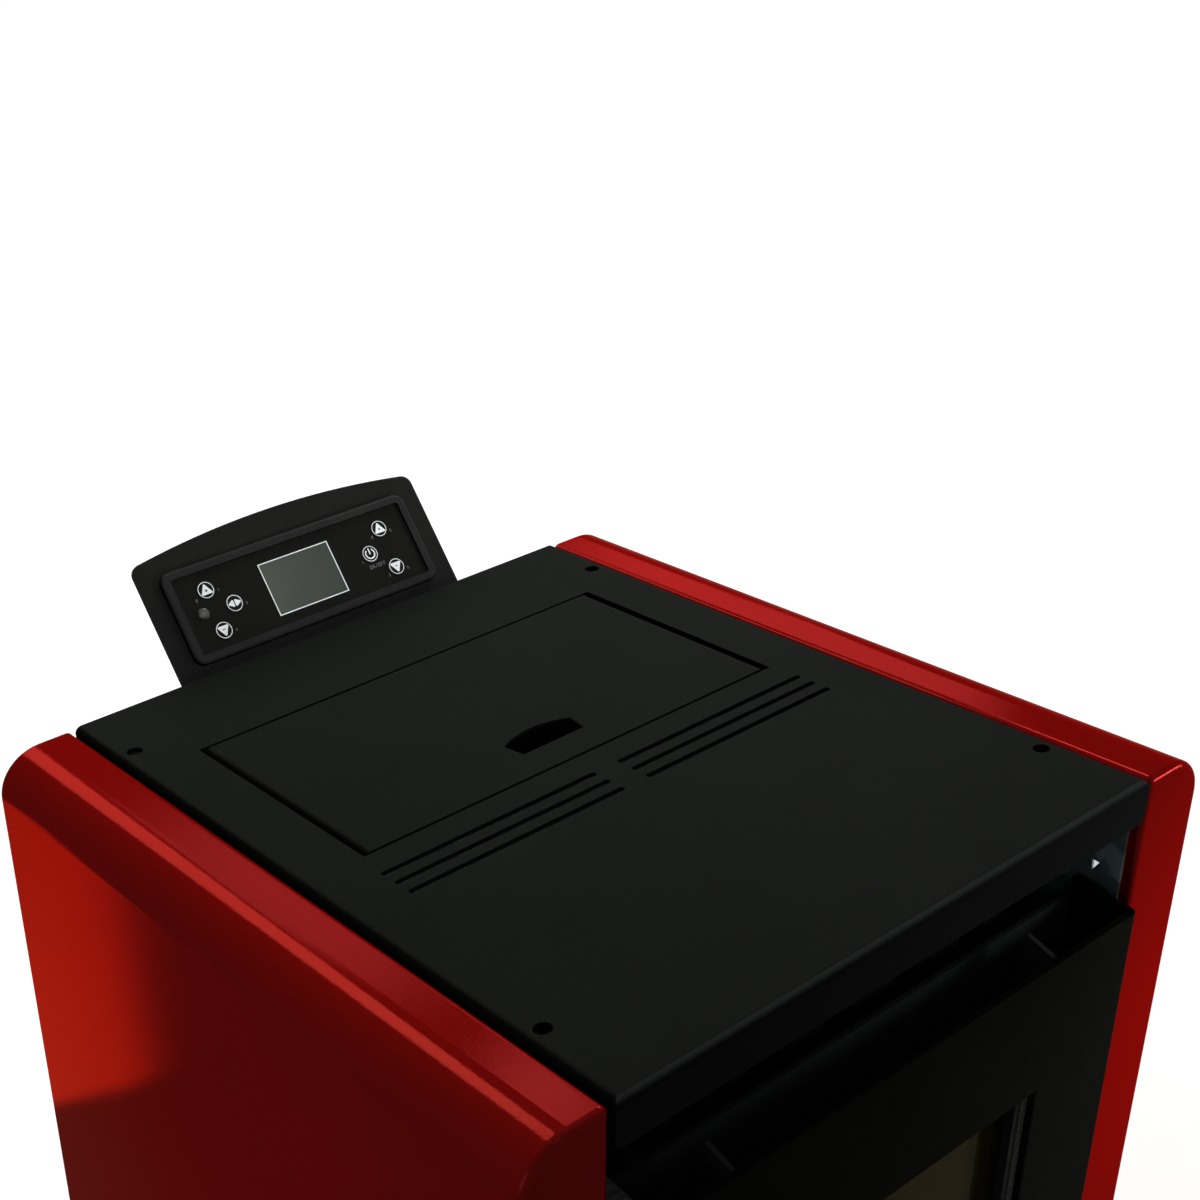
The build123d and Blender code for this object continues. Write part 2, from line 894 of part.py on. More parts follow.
def door_inner_frame():
    """Wall behind the glass, with a hinge sleeve at each end of its left edge."""
    low = door_bottom + door_return
    high = door_top - spare
    through = past(inner_wall, inner_back)
    frame = block((-inner_half, inner_half), (inner_wall, inner_back), (low, inner_top))
    frame -= block((-pane_half, pane_half), through, (pane_bottom, pane_top))
    for span in ((low, low + sleeve_length), (high - sleeve_length, high)):
        web = (hinge_x + hinge_pin + spare, hinge_x + sleeve_radius + plate)
        frame += block(web, (hinge_depth, inner_wall), (span[0], min(span[1], inner_top)))
        frame += upright(sleeve_radius, hinge_x, hinge_depth, *span)
        frame -= upright(hinge_pin + pin_gap, hinge_x, hinge_depth, *past(*span))
    frame -= along(handle_shaft + pin_gap, handle_x, *through, handle_z)
    return frame - block(
        (handle_x + keeper_start - keeper_clear, inner_half + spare),
        through,
        (handle_z - keeper_drop - keeper_clear, handle_z + handle_shaft + keeper_clear),
    )


def door_ribs():
    """Two fins beside the window whose upper edges rise towards the back."""
    low = window_bottom - rib_tail
    high = door_top - spare
    outline = Polyline(
        (rib_front, low), (rib_back, low), (rib_back, high + rib_rise), (rib_front, high), (rib_front, low)
    )
    fin = Pos(0, front_y, 0) * extrude(Plane.YZ * make_face(outline), amount=plate / 2, both=True)
    place = window_half + rib_inset
    return [Pos(side * place, 0, 0) * fin for side in (-1, 1)]


def door_hinges():
    """A bracket on the cabinet's side wall, with an upright pin, above and below the door."""
    half = hinge_arm / 2
    solids = []
    for level, turn in ((door_top + hinge_gap, -1), (door_bottom - hinge_gap, 1)):
        span = sorted((level, level - turn * hinge_plate))
        arm = block((-wall_inner, hinge_x + half), (cabinet_front, frame_depth), span)
        arm += block((hinge_x - half, hinge_x + half), (hinge_depth, frame_depth), span)
        arm += upright(half, hinge_x, hinge_depth, *span)
        reach = sorted((level, level + turn * hinge_pin_length))
        solids.append(arm + upright(hinge_pin, hinge_x, hinge_depth, *reach))
    return solids


def window_ring(step, depth):
    """One of the frames stacked between the door's face and its glass."""
    return ring_block(pane_half, depth, (pane_bottom, pane_top), pane_half - window_half + step)


def window_retainers():
    """One thin frame in front of the spacer and one behind the glass."""
    spans = ((seal_back, retainer_back), (glass_back, glass_back + retainer_thick))
    return [window_ring(seal_step, span) for span in spans]


def window_glass():
    half = pane_half - glass_gap
    return block((-half, half), (glass_front, glass_back), (pane_bottom, pane_top))


def door_gasket():
    half = mouth_half + gasket_inset
    levels = (mouth_bottom - gasket_lap, mouth_top + gasket_lap)
    return ring_block(half, (inner_back, inner_back + gasket_size), levels, gasket_size)


def door_handle():
    """Lever outside the door, with its rose and its shaft through the door."""
    face = door_front - slide_gap
    front = handle_grip - front_reach
    high = handle_z + handle_grip
    grip = upright(handle_grip, handle_x, front, high - handle_length, high)
    grip = fillet(grip.edges().filter_by(GeomType.CIRCLE), handle_grip / 3)
    shaft = along(handle_shaft, handle_x, front, inner_back + slide_gap + handle_tail, handle_z)
    rose = along(handle_rose, handle_x, face - handle_rose_thick, face, handle_z)
    return shaft + rose + grip


def latch_tongue():
    """Arm on the inner end of the handle's shaft; it turns down behind the keeper."""
    depth = (tongue_front, tongue_back)
    across_x = (handle_x - handle_shaft, handle_x + handle_shaft)
    tongue = along(tongue_hub, handle_x, *depth, handle_z)
    tongue += block(across_x, depth, (handle_z, handle_z + tongue_length))
    return tongue - along(handle_shaft, handle_x, *past(*depth), handle_z)


def latch_keeper():
    """Hook on the front frame that the tongue turns behind."""
    start = handle_x + keeper_start
    x = (start, start + keeper_width)
    lip_back = tongue_front - 2 * slide_gap
    low = handle_z - keeper_drop
    hook = block(x, (lip_back - keeper_lip, frame_depth), (low, low + keeper_post))
    return hook + block(x, (lip_back - keeper_lip, lip_back), (low, handle_z + handle_shaft))


# ------------------------------------------------------------------ hopper, auger, chute
def hopper_solid(inset):
    """Filled hopper: an upright collar over a funnel that ends in a square throat."""
    half = hopper_half - inset
    depth = (hopper_front + inset, hopper_back - inset)
    throat = throat_size / 2 - inset
    neck = (throat_depth - throat, throat_depth + throat)
    middle = front_y + sum(depth) / 2
    top = Pos(0, middle, hopper_shoulder) * Rectangle(2 * half, depth[1] - depth[0])
    low = Pos(0, front_y + throat_depth, throat_height) * Rectangle(2 * throat, 2 * throat)
    collar = block((-half, half), depth, (hopper_shoulder, front_height))
    return collar + loft([low, top]) + block((-throat, throat), neck, (auger_low_height, throat_height))


def auger_rod(radius, start, end):
    """A bar on the auger's axis, from start to end along it."""
    bar = Cylinder(radius, end - start, align=(Align.CENTER, Align.CENTER, Align.MIN))
    return auger_frame * (Pos(0, 0, start) * bar)


def pellet_hopper():
    hopper = (hopper_solid(0) - hopper_solid(hopper_sheet)) & below_top(plate)
    hopper -= auger_rod(auger_tube_radius, -auger_length, 2 * auger_length)
    return hopper.solids().sort_by(Axis.Z)[-1]


def feed_chute():
    """A slanting square duct from the auger's upper end into the firebox."""
    half = chute_size / 2
    duct = chute_bar(half, chute_reach, chute_rise)
    duct -= chute_bar(half - sheet, chute_reach + spare, chute_rise - sheet)
    duct -= auger_rod(auger_tube_radius, -spare, auger_length)
    front = inside_back - liner - fireback_rib
    duct &= block((-half, half), (front, body_depth), (0, front_height))
    return duct.solids().sort_by(SortBy.VOLUME)[-1]


def auger_tube():
    shell = auger_rod(auger_tube_radius, 0, auger_length)
    shell -= auger_rod(auger_tube_radius - auger_wall, sheet, auger_length + spare)
    shell -= auger_rod(auger_shaft + shaft_clear, *past(0, sheet))
    half = throat_size / 2 - hopper_sheet
    axis_height = auger_low_height + throat_setback * auger_height / auger_run
    shell -= block(
        (-half, half), (throat_depth - half, throat_depth + half), (axis_height, throat_height)
    )
    return shell - chute_bar(chute_size / 2 - sheet, chute_reach / 2, 0)


def auger_screw():
    start = auger_end_gap + sheet
    end = auger_length - auger_end_gap
    length = end - start - auger_blade
    width = auger_flight - auger_shaft + spare
    path = Helix(auger_pitch, length, auger_flight - width / 2)
    section = Plane(origin=path @ 0, x_dir=(1, 0, 0), z_dir=path % 0) * Rectangle(width, auger_blade)
    flight = sweep(section, path=path, is_frenet=True)
    shaft = auger_rod(auger_shaft, -bearing_depth, end)
    return shaft + auger_frame * (Pos(0, 0, start + auger_blade) * flight)


def auger_gearmotor():
    half = gearbox_size / 2
    box = local_block((-half, half), (-half, half), (-gearbox_length, 0))
    box = fillet(box.edges().filter_by(Axis.Z), gearbox_corner)
    box -= Pos(0, 0, -bearing_depth / 2) * Cylinder(auger_shaft + pin_gap, bearing_depth + 2 * spare)
    motor = Cylinder(gearmotor_radius, gearmotor_length, align=(Align.CENTER, Align.CENTER, Align.MAX))
    return auger_frame * (box + Pos(0, 0, -gearbox_length) * motor)


# ------------------------------------------------------------------ blowers
def blower_housing(x, height, radius, width, outlet):
    """A drum along X on two legs, with a round inlet on its right and a square outlet."""
    low = x - width / 2
    high = x + width / 2
    drum = across(radius, low, high, blower_depth, height) + outlet(0)
    for span in ((low, low + plate), (high - plate, high)):
        leg = (blower_depth - radius / 2, blower_depth + radius / 2)
        drum += block(span, leg, (base_top, height - radius / 2))
    drum -= across(radius - blower_wall, low + blower_wall, high - blower_wall, blower_depth, height)
    drum -= outlet(blower_wall)
    drum -= across(blower_inlet, *past(high - blower_wall, high), blower_depth, height)
    return drum - across(blower_shaft + shaft_clear, *past(low, low + blower_wall), blower_depth, height)


def exhaust_outlet(inset):
    half = exhaust_width / 2 - inset
    return block(
        (exhaust_x - half, exhaust_x + half),
        (blower_depth, flue_start - inset),
        (flue_height - half, flue_height + half),
    )


def exhaust_housing():
    housing = blower_housing(exhaust_x, exhaust_height, exhaust_radius, exhaust_width, exhaust_outlet)
    bore = past(flue_start - blower_wall, flue_start)
    return housing - along(flue_radius - flue_wall, exhaust_x, *bore, flue_height)


def convection_outlet(inset):
    half = convection_width / 2 - inset
    top = convection_height + convection_radius + convection_spout + 2 * inset
    return block(
        (convection_x - half, convection_x + half),
        (blower_depth + inset, blower_depth + convection_radius - inset),
        (convection_height, top),
    )


def convection_housing():
    return blower_housing(
        convection_x, convection_height, convection_radius, convection_width, convection_outlet
    )


def blower_wheel(side, height, radius):
    """Back disc, hub and straight blades on a shaft that runs into the motor."""
    low = side + wheel_setback
    wheel = across(radius, low, low + wheel_disc, blower_depth, height)
    wheel += across(2 * blower_shaft, low, low + wheel_width / 2, blower_depth, height)
    wheel += across(blower_shaft, side - bearing_depth, low, blower_depth, height)
    blade = local_block(
        (0, wheel_width), (wheel_eye, radius - spare / 2), (-wheel_blade / 2, wheel_blade / 2)
    )
    for number in range(wheel_blades):
        turned = Rot(360 * number / wheel_blades, 0, 0) * blade
        wheel += Pos(low, front_y + blower_depth, height) * turned
    return wheel


def blower_motor(side, height):
    body = across(motor_radius, side - motor_length, side, blower_depth, height)
    return body - across(blower_shaft + pin_gap, *past(side - bearing_depth, side), blower_depth, height)


def rear_pipe(radius, wall, x, z, start, reach):
    """A round pipe out through the rear panel, with a collar against the panel."""
    end = body_depth + reach
    pipe = along(radius, x, start, end, z)
    pipe += along(radius + plate, x, body_depth, body_depth + plate, z)
    return pipe - along(radius - wall, x, *past(start, end), z)


def flue_outlet():
    return rear_pipe(flue_radius, flue_wall, exhaust_x, flue_height, flue_start, rear_reach)


def air_intake_pipe():
    return rear_pipe(
        intake_radius, intake_wall, intake_x, intake_height, firebox_back, intake_reach
    )


# ------------------------------------------------------------------ rear fittings
def panel_box(width, tall, z, rim, behind, proud):
    """An open box through the rear panel with a rim against its outer face."""
    half = width / 2
    up = tall / 2
    span = (fittings_x - half, fittings_x + half)
    body = block(span, (body_depth - behind, body_depth + proud), (z - up, z + up))
    body += block(
        (span[0] - rim, span[1] + rim),
        (body_depth, body_depth + proud),
        (z - up - rim, z + up + rim),
    )
    return body - block(
        (span[0] + sheet, span[1] - sheet),
        (body_depth - behind + sheet, body_depth + proud + spare),
        (z - up + sheet, z + up - sheet),
    )


def power_inlet():
    body = panel_box(socket_width, socket_tall, socket_height, socket_rim, socket_thick, sheet)
    for place in (-1, 0, 1):
        x = fittings_x + place * contact_pitch
        z = socket_height + (contact_step if place == 0 else -contact_step)
        body += block(
            (x - contact_width / 2, x + contact_width / 2),
            (body_depth - socket_thick + sheet, body_depth - sheet),
            (z - contact_tall / 2, z + contact_tall / 2),
        )
    return body


def rocker_line(radius, reach):
    """The rocker's pivot as a bar along X, reaching past the inside of its frame."""
    half = switch_width / 2 - sheet + reach
    return across(radius, fittings_x - half, fittings_x + half, body_depth - rocker_axis, switch_height)


def switch_frame():
    frame = panel_box(switch_width, switch_tall, switch_height, switch_rim, switch_thick, switch_proud)
    return frame - rocker_line(rocker_pin + pin_gap, sheet + spare)


def rocker_switch():
    """Rocker that tilts about a cross pin; its outer face is a shallow V."""
    half = switch_width / 2 - sheet - slide_gap
    tall = switch_tall / 2 - sheet - rocker_gap
    heel = tall - rocker_axis
    outline = Polyline(
        (sheet + switch_proud, -tall),
        (slide_gap, 0),
        (switch_proud, tall),
        (-rocker_heel, heel),
        (-rocker_depth, 0),
        (-rocker_heel, -heel),
        (sheet + switch_proud, -tall),
    )
    body = extrude(Plane.YZ * make_face(outline), amount=half, both=True)
    body = Pos(fittings_x, front_y + body_depth, switch_height) * body
    return body + rocker_line(rocker_pin, rocker_pin_reach)


# ------------------------------------------------------------------ console
# Its own frame: x across, y out of the leaning plate towards the back, z up the plate.
def console_leaf():
    half = console_width / 2
    side = console_rise + console_side
    edges = Polyline((-half, side), (-half, 0), (half, 0), (half, side))
    arch = ThreePointArc((half, side), (0, console_rise + console_middle), (-half, side))
    face = make_face(Curve() + [edges, arch])
    face = fillet(face.vertices().group_by(Axis.Y)[-1], console_corner)
    return extrude(Plane.XZ * face, amount=-sheet)


def console_bracket():
    """A foot on the rear panel, a short step back and the leaning plate."""
    across_x = (-console_width / 2, console_width / 2)
    foot = block(across_x, (body_depth, body_depth + sheet), (console_base - console_foot, console_base))
    step_back = body_depth + console_setback + sheet * math.sin(math.radians(console_tilt))
    step = block(across_x, (body_depth, step_back), (console_base - sheet, console_base))
    return console_place * console_leaf() + foot + step


def console_block(width, height, middle, depth, corner):
    """A round-cornered block that stands in front of the plate from depth[0] to depth[1]."""
    solid = extrude(Plane.XZ * RectangleRounded(width, height, corner), amount=depth[1] - depth[0])
    return Pos(0, -depth[0], console_rise + middle) * solid


def console_disc(radius, x, z, depth):
    disc = extrude(Plane.XZ * Circle(radius), amount=depth[1] - depth[0])
    return Pos(x, -depth[0], console_rise + z) * disc


def membrane_block(depth):
    return console_block(membrane_width, membrane_height, bezel_middle, depth, bezel_inner_corner)


def display_block(depth):
    return console_block(display_width, display_height, keypad_middle, depth, display_corner)


def console_bezel():
    outer = console_block(bezel_width, bezel_height, bezel_middle, (0, bezel_thick), bezel_corner)
    outer = fillet(outer.faces().sort_by(Axis.Y)[0].edges(), bezel_edge)
    return console_place * (outer - membrane_block(past(0, bezel_thick)))


def key_places():
    up = keypad_middle + key_pitch
    down = keypad_middle - key_pitch
    return {
        "left_up_key": (-key_outer_x, up),
        "left_set_key": (-key_inner_x, keypad_middle),
        "left_down_key": (-key_outer_x, down),
        "right_up_key": (key_outer_x, up),
        "power_key": (key_inner_x, keypad_middle),
        "right_down_key": (key_outer_x, down),
    }


def console_membrane():
    body = membrane_block((0, membrane_thick))
    body -= display_block((membrane_thick - display_thick, bezel_thick))
    for x, z in key_places().values():
        body -= console_disc(key_radius + key_gap, x, z, (key_floor, bezel_thick))
    return console_place * body


def display_window():
    return console_place * display_block((membrane_thick - display_thick, membrane_thick + display_proud))


def key_cap(x, z):
    depth = (key_floor + key_play, membrane_thick + key_proud)
    return console_place * console_disc(key_radius, x, z, depth)


def status_led():
    base = console_disc(led_radius, -led_x, keypad_middle, (membrane_thick, membrane_thick + led_height))
    return console_place * fillet(base.faces().sort_by(Axis.Y)[0].edges(), led_edge)


def control_box():
    low = console_rise + bezel_middle - control_box_height / 2
    half = control_box_width / 2
    box = local_block((-half, half), (sheet, sheet + control_box_depth), (low, low + control_box_height))
    return console_place * fillet(box.faces().sort_by(Axis.Y)[-1].edges(), control_box_edge)


# ------------------------------------------------------------------ write every piece
write("left_side_panel", flipped(side_panel()))
write("right_side_panel", side_panel())
write("top_plate", top_plate())
write("top_plate_screws", *top_screws())
write("hopper_lid", hopper_lid())
write("lid_pivot_pins", *lid_pins())

write("base_plate", base_plate())
write("levelling_feet", *feet())
write("left_chassis_wall", flipped(chassis_wall()))
write("right_chassis_wall", chassis_wall())
write("front_frame", front_frame())
write("latch_keeper", latch_keeper())
write("lower_front_panel", lower_front_panel())
write("rear_panel", rear_panel())

write("firebox_shell", firebox_shell())
write("fireback_plate", fireback_plate())
write("firebox_liners", *firebox_liners())
write("heat_exchanger", *heat_exchanger())
write("burn_pot", burn_pot())
write("igniter", igniter())

write("ash_drawer", ash_drawer())
write("ash_drawer_grip", drawer_grip())

write("door_cover", door_cover())
write("door_inner_frame", door_inner_frame())
write("door_ribs", *door_ribs())
write("door_hinge_brackets", *door_hinges())
write("window_seal", window_ring(-seal_step, (face_back, seal_back)))
write("window_retainers", *window_retainers())
write("window_spacer", window_ring(-spacer_step, (retainer_back, glass_front)))
write("window_glass", window_glass())
write("door_gasket", door_gasket())
write("door_handle", door_handle())
write("latch_tongue", latch_tongue())

write("pellet_hopper", pellet_hopper())
write("feed_chute", feed_chute())
write("auger_tube", auger_tube())
write("auger_screw", auger_screw())
write("auger_gearmotor", auger_gearmotor())

write("exhaust_blower_housing", exhaust_housing())
write("exhaust_impeller", blower_wheel(exhaust_side, exhaust_height, exhaust_wheel))
write("convection_blower_housing", convection_housing())
write("convection_impeller", blower_wheel(convection_side, convection_height, convection_wheel))
write(
    "blower_motors",
    blower_motor(exhaust_side, exhaust_height),
    blower_motor(convection_side, convection_height),
)
write("flue_outlet", flue_outlet())
write("air_intake_pipe", air_intake_pipe())

write("power_inlet", power_inlet())
write("switch_frame", switch_frame())
write("rocker_switch", rocker_switch())

write("console_bracket", console_bracket())
write("console_bezel", console_bezel())
write("console_membrane", console_membrane())
write("display_window", display_window())
write("status_led", status_led())
write("control_box", control_box())
for name, place in key_places().items():
    write(name, key_cap(*place))
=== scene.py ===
import json
import math

import bmesh
import bpy
from mathutils import Matrix, Vector


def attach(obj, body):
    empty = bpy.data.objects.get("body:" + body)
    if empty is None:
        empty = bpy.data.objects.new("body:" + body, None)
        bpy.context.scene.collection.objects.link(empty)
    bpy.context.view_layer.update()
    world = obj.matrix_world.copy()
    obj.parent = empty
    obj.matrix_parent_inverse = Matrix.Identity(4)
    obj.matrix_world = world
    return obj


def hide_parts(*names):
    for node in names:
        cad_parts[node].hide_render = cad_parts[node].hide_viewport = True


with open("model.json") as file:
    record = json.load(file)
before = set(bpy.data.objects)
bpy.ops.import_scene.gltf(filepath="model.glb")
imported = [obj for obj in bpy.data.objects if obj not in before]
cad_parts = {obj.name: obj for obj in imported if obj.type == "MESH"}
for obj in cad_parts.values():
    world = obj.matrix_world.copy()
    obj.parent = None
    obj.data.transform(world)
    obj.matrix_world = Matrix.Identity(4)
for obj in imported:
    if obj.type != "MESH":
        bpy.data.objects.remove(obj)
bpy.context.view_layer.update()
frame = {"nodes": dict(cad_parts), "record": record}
MM = 0.001
FRONT_Y = -0.290        # the body's front plane
REAR_Y = 0.250          # the rear panel's outer face
BRACKET_PLATE = 0.002   # the console bracket's plate on the rear panel
TOP_FRONT_Z = 0.930     # the height of the top at the front
SLOPE = math.radians(-7.6)   # the top falls to the back


# ---------------------------------------------------------------- materials
def srgb(r, g, b):
    """A linear colour from 0-255 screen values."""
    def one(v):
        v = v / 255
        return v / 12.92 if v <= 0.04045 else ((v + 0.055) / 1.055) ** 2.4
    return (one(r), one(g), one(b), 1.0)


NOISE_LOW, NOISE_HIGH = 0.3, 0.7           # a noise's values lie mostly between these
FORWARD = (0, -1, 0)
PAINTED_SIDE_SHADE = (0.0008, 0.0009, 0.0009, 1)   # painted shade: black paint darkened on a fold's side faces
PAINTED_LIP_SHADE = (0.0010, 0.0011, 0.0009, 1)    # and painted shade on the front lip
PAINTED_FRAME_SHADE = (0.0022, 0.0024, 0.0022, 1)  # painted shade on the plastic sides of the console's frame


class Maker:
    """Adds and links nodes in one material."""

    def __init__(self, name):
        self.mat = bpy.data.materials.new(name)
        self.mat.use_nodes = True
        self.nodes = self.mat.node_tree.nodes
        self.links = self.mat.node_tree.links
        self.shader = self.nodes["Principled BSDF"]
        self.coord = self.nodes.new("ShaderNodeTexCoord").outputs["Object"]

    def mapped(self, scale):
        m = self.nodes.new("ShaderNodeMapping")
        m.inputs["Scale"].default_value = scale
        self.links.new(self.coord, m.inputs["Vector"])
        return m.outputs["Vector"]

    def noise(self, scale, detail=4.0, rough=0.55, vector=None):
        n = self.nodes.new("ShaderNodeTexNoise")
        n.inputs["Scale"].default_value = scale
        n.inputs["Detail"].default_value = detail
        n.inputs["Roughness"].default_value = rough
        self.links.new(vector or self.coord, n.inputs["Vector"])
        return n.outputs["Fac"]

    def cells(self, scale, output="Distance"):
        n = self.nodes.new("ShaderNodeTexVoronoi")
        n.inputs["Scale"].default_value = scale
        self.links.new(self.coord, n.inputs["Vector"])
        return n.outputs[output]

    def ramp(self, value, stops):
        n = self.nodes.new("ShaderNodeValToRGB")
        while len(n.color_ramp.elements) < len(stops):
            n.color_ramp.elements.new(0.5)
        for element, (place, colour) in zip(n.color_ramp.elements, stops):
            element.position = place
            element.color = colour
        self.links.new(value, n.inputs["Fac"])
        return n.outputs["Color"]

    def span(self, value, low, high, start=0.0, end=1.0):
        """From low to high as a value goes from start to end."""
        n = self.nodes.new("ShaderNodeMapRange")
        n.inputs["From Min"].default_value = start
        n.inputs["From Max"].default_value = end
        n.inputs["To Min"].default_value = low
        n.inputs["To Max"].default_value = high
        self.links.new(value, n.inputs["Value"])
        return n.outputs["Result"]

    def between(self, noise, low, high):
        """A number from low to high over a noise's usual range."""
        return self.span(noise, low, high, NOISE_LOW, NOISE_HIGH)

    def tones(self, noise, low, high):
        """A colour from low to high over a noise's usual range."""
        return self.ramp(noise, [(NOISE_LOW, low), (NOISE_HIGH, high)])

    def math(self, kind, a, b):
        n = self.nodes.new("ShaderNodeMath")
        n.operation = kind
        for socket, value in zip(n.inputs, (a, b)):
            if isinstance(value, (int, float)):
                socket.default_value = value
            else:
                self.links.new(value, socket)
        return n.outputs["Value"]

    def blend(self, factor, a, b):
        n = self.nodes.new("ShaderNodeMix")
        n.data_type = "RGBA"
        for key, value in (("Factor_Float", factor), ("A_Color", a), ("B_Color", b)):
            socket = next(s for s in n.inputs if s.identifier == key)
            if isinstance(value, (int, float, tuple)):
                socket.default_value = value
            else:
                self.links.new(value, socket)
        return next(s for s in n.outputs if s.identifier == "Result_Color")

    def bump(self, height, strength, distance):
        n = self.nodes.new("ShaderNodeBump")
        n.inputs["Strength"].default_value = strength
        n.inputs["Distance"].default_value = distance
        self.links.new(height, n.inputs["Height"])
        return n.outputs["Normal"]

    def join(self, socket, value):
        if isinstance(value, (int, float, tuple)):
            self.shader.inputs[socket].default_value = value
        else:
            self.links.new(value, self.shader.inputs[socket])

    def convex_edges(self):
        """High on convex edges, from how the normal turns across a small radius."""
        n = self.nodes.new("ShaderNodeNewGeometry")
        return n.outputs["Pointiness"]

    def facing(self, direction):
        """How far the surface faces a direction fixed in the part: 1 towards it, 0 across it."""
        face = self.nodes.new("ShaderNodeTexCoord")
        turn = self.nodes.new("ShaderNodeVectorMath")
        turn.operation = "DOT_PRODUCT"
        turn.inputs[1].default_value = direction
        self.links.new(face.outputs["Normal"], turn.inputs[0])
        return turn.outputs["Value"]

    def fold_highlight_mask(self):
        """High along the fold at the front of a nearly level plate, where a highlight is painted.
        """
        rise = self.facing((0, 0, 1))
        front = self.span(self.facing(FORWARD), 0.0, 1.0, 0.05, 0.35)
        return self.math("MULTIPLY", front, self.span(rise, 0.0, 1.0, 0.50, 0.80))


def scaled(colour, factor, lift=0.0):
    """A colour made lighter by a factor and a fixed lift."""
    return tuple(c * factor + lift for c in colour[:3]) + (1.0,)


def finish(maker, **sockets):
    """Joins values or node outputs to the shader's sockets, and gives the material."""
    for socket, value in sockets.items():
        maker.join(socket.replace("_", " "), value)
    return maker.mat


def lacquer(name, low, high):
    """Glossy paint: a little metal flake, orange peel and a thin clear coat."""
    m = Maker(name)
    speck = m.noise(900.0, 2.0)
    colour = m.tones(m.noise(3.5, 3.0), low, high)
    colour = m.blend(m.span(speck, 0.0, 0.25, 0.4, 0.75), colour, scaled(high, 1.3))
    fine = m.math("MULTIPLY", m.noise(1500.0, 1.0), 0.5)
    peel = m.math("ADD", m.noise(520.0, 2.0, 0.5), fine)
    normal = m.bump(peel, 0.09, 0.0005)
    rough = m.between(m.noise(60.0, 4.0), 0.07, 0.10)
    m.join("Metallic", 0.15)
    m.join("Specular Tint", (1.0, 0.42, 0.40, 1.0))
    m.join("Coat Weight", 0.0065)
    m.join("Coat Roughness", 0.05)
    m.join("Coat IOR", 3.0)
    m.links.new(normal, m.shader.inputs["Coat Normal"])
    return finish(m, Base_Color=colour, Roughness=rough, Normal=normal, Specular_IOR_Level=0.0)


def powder(name, low, high, rough=(0.42, 0.56), grain=1500.0, strength=0.14,
           specular=0.0015, wear_and_highlight=0.12, fold=0.0):
    """Fine-textured powder coat with lighter convex edges, partly rubbed coat and partly a painted
    highlight.

    A fold above 0 paints a highlight on the fold at a plate's front, and painted shade on its lip
    and side faces.
    """
    m = Maker(name)
    colour = m.ramp(m.noise(9.0, 2.0), [(0.3, low), (0.72, high)])
    # lighter convex edges, in the colour below: partly rubbed coat, partly a painted highlight on
    # the folds
    edges = m.span(m.convex_edges(), 0.0, 1.0, 0.53, 0.62)
    worn_and_lit = m.math("MULTIPLY", edges, m.span(m.noise(130.0), 0.2, 0.9, 0.4, 0.7))
    light = scaled(high, 3.2, 0.006)
    colour = m.blend(m.math("MULTIPLY", worn_and_lit, wear_and_highlight), colour, light)
    if fold:
        # painted highlight along the front fold
        colour = m.blend(m.math("MULTIPLY", m.fold_highlight_mask(), fold), colour, light)
        # painted shade on the side faces
        side = m.math("ABSOLUTE", m.facing((1, 0, 0)), 0.0)
        colour = m.blend(m.span(side, 0.0, 0.85, 0.2, 0.6), colour, PAINTED_SIDE_SHADE)
        # painted shade on the front lip
        lip = m.span(m.facing(FORWARD), 0.0, 0.45, 0.6, 0.95)
        colour = m.blend(lip, colour, PAINTED_LIP_SHADE)
    roughness = m.between(m.noise(45.0, 6.0), *rough)
    normal = m.bump(m.noise(grain, 2.0, 0.6), strength, 0.00018)
    return finish(m, Base_Color=colour, Roughness=roughness, Normal=normal,
                  Specular_IOR_Level=specular)


def zinc(name, tint=(0.7, 0.7, 0.7)):
    """Galvanised sheet with its frosty spangle."""
    m = Maker(name)
    spangle = m.cells(95.0, "Color")
    flat = m.nodes.new("ShaderNodeRGBToBW")
    m.links.new(spangle, flat.inputs["Color"])
    shade = flat.outputs["Val"]
    low, high = (
        tuple(c * t for c, t in zip(grey, tint)) + (1,)
        for grey in ((0.30, 0.32, 0.33), (0.52, 0.54, 0.55))
    )
    colour = m.ramp(shade, [(0.1, low), (0.9, high)])
    stain = m.noise(14.0, 6.0)
    colour = m.blend(m.span(stain, 0.0, 0.35, 0.45, 0.75), colour, (0.22, 0.22, 0.21, 1))
    roughness = m.span(shade, 0.30, 0.52)
    normal = m.bump(m.noise(700.0, 3.0), 0.08, 0.0002)
    return finish(m, Base_Color=colour, Roughness=roughness, Normal=normal, Metallic=0.9)


def brushed(name, low, high, stretch=(30, 700, 700), rough=(0.25, 0.42)):
    """Bare metal with fine lines along one way."""
    m = Maker(name)
    lines = m.noise(1.0, 6.0, 0.7, m.mapped(stretch))
    normal = m.bump(lines, 0.10, 0.00012)
    return finish(m, Base_Color=m.tones(lines, low, high), Roughness=m.between(lines, *rough),
                  Normal=normal, Metallic=1.0)


def casting(name, low, high):
    """Sand-cast iron: coarse grain over slow patches of rust and soot."""
    m = Maker(name)
    patches = m.noise(16.0, 8.0, 0.65)
    colour = m.ramp(patches, [(0.3, low), (0.62, high), (0.8, scaled(high, 1.5))])
    grain = m.math("ADD", m.noise(420.0, 4.0, 0.6), m.cells(650.0))
    normal = m.bump(grain, 0.4, 0.0004)
    roughness = m.between(m.noise(90.0, 5.0), 0.6, 0.85)
    return finish(m, Base_Color=colour, Roughness=roughness, Normal=normal,
                  Specular_IOR_Level=0.05)


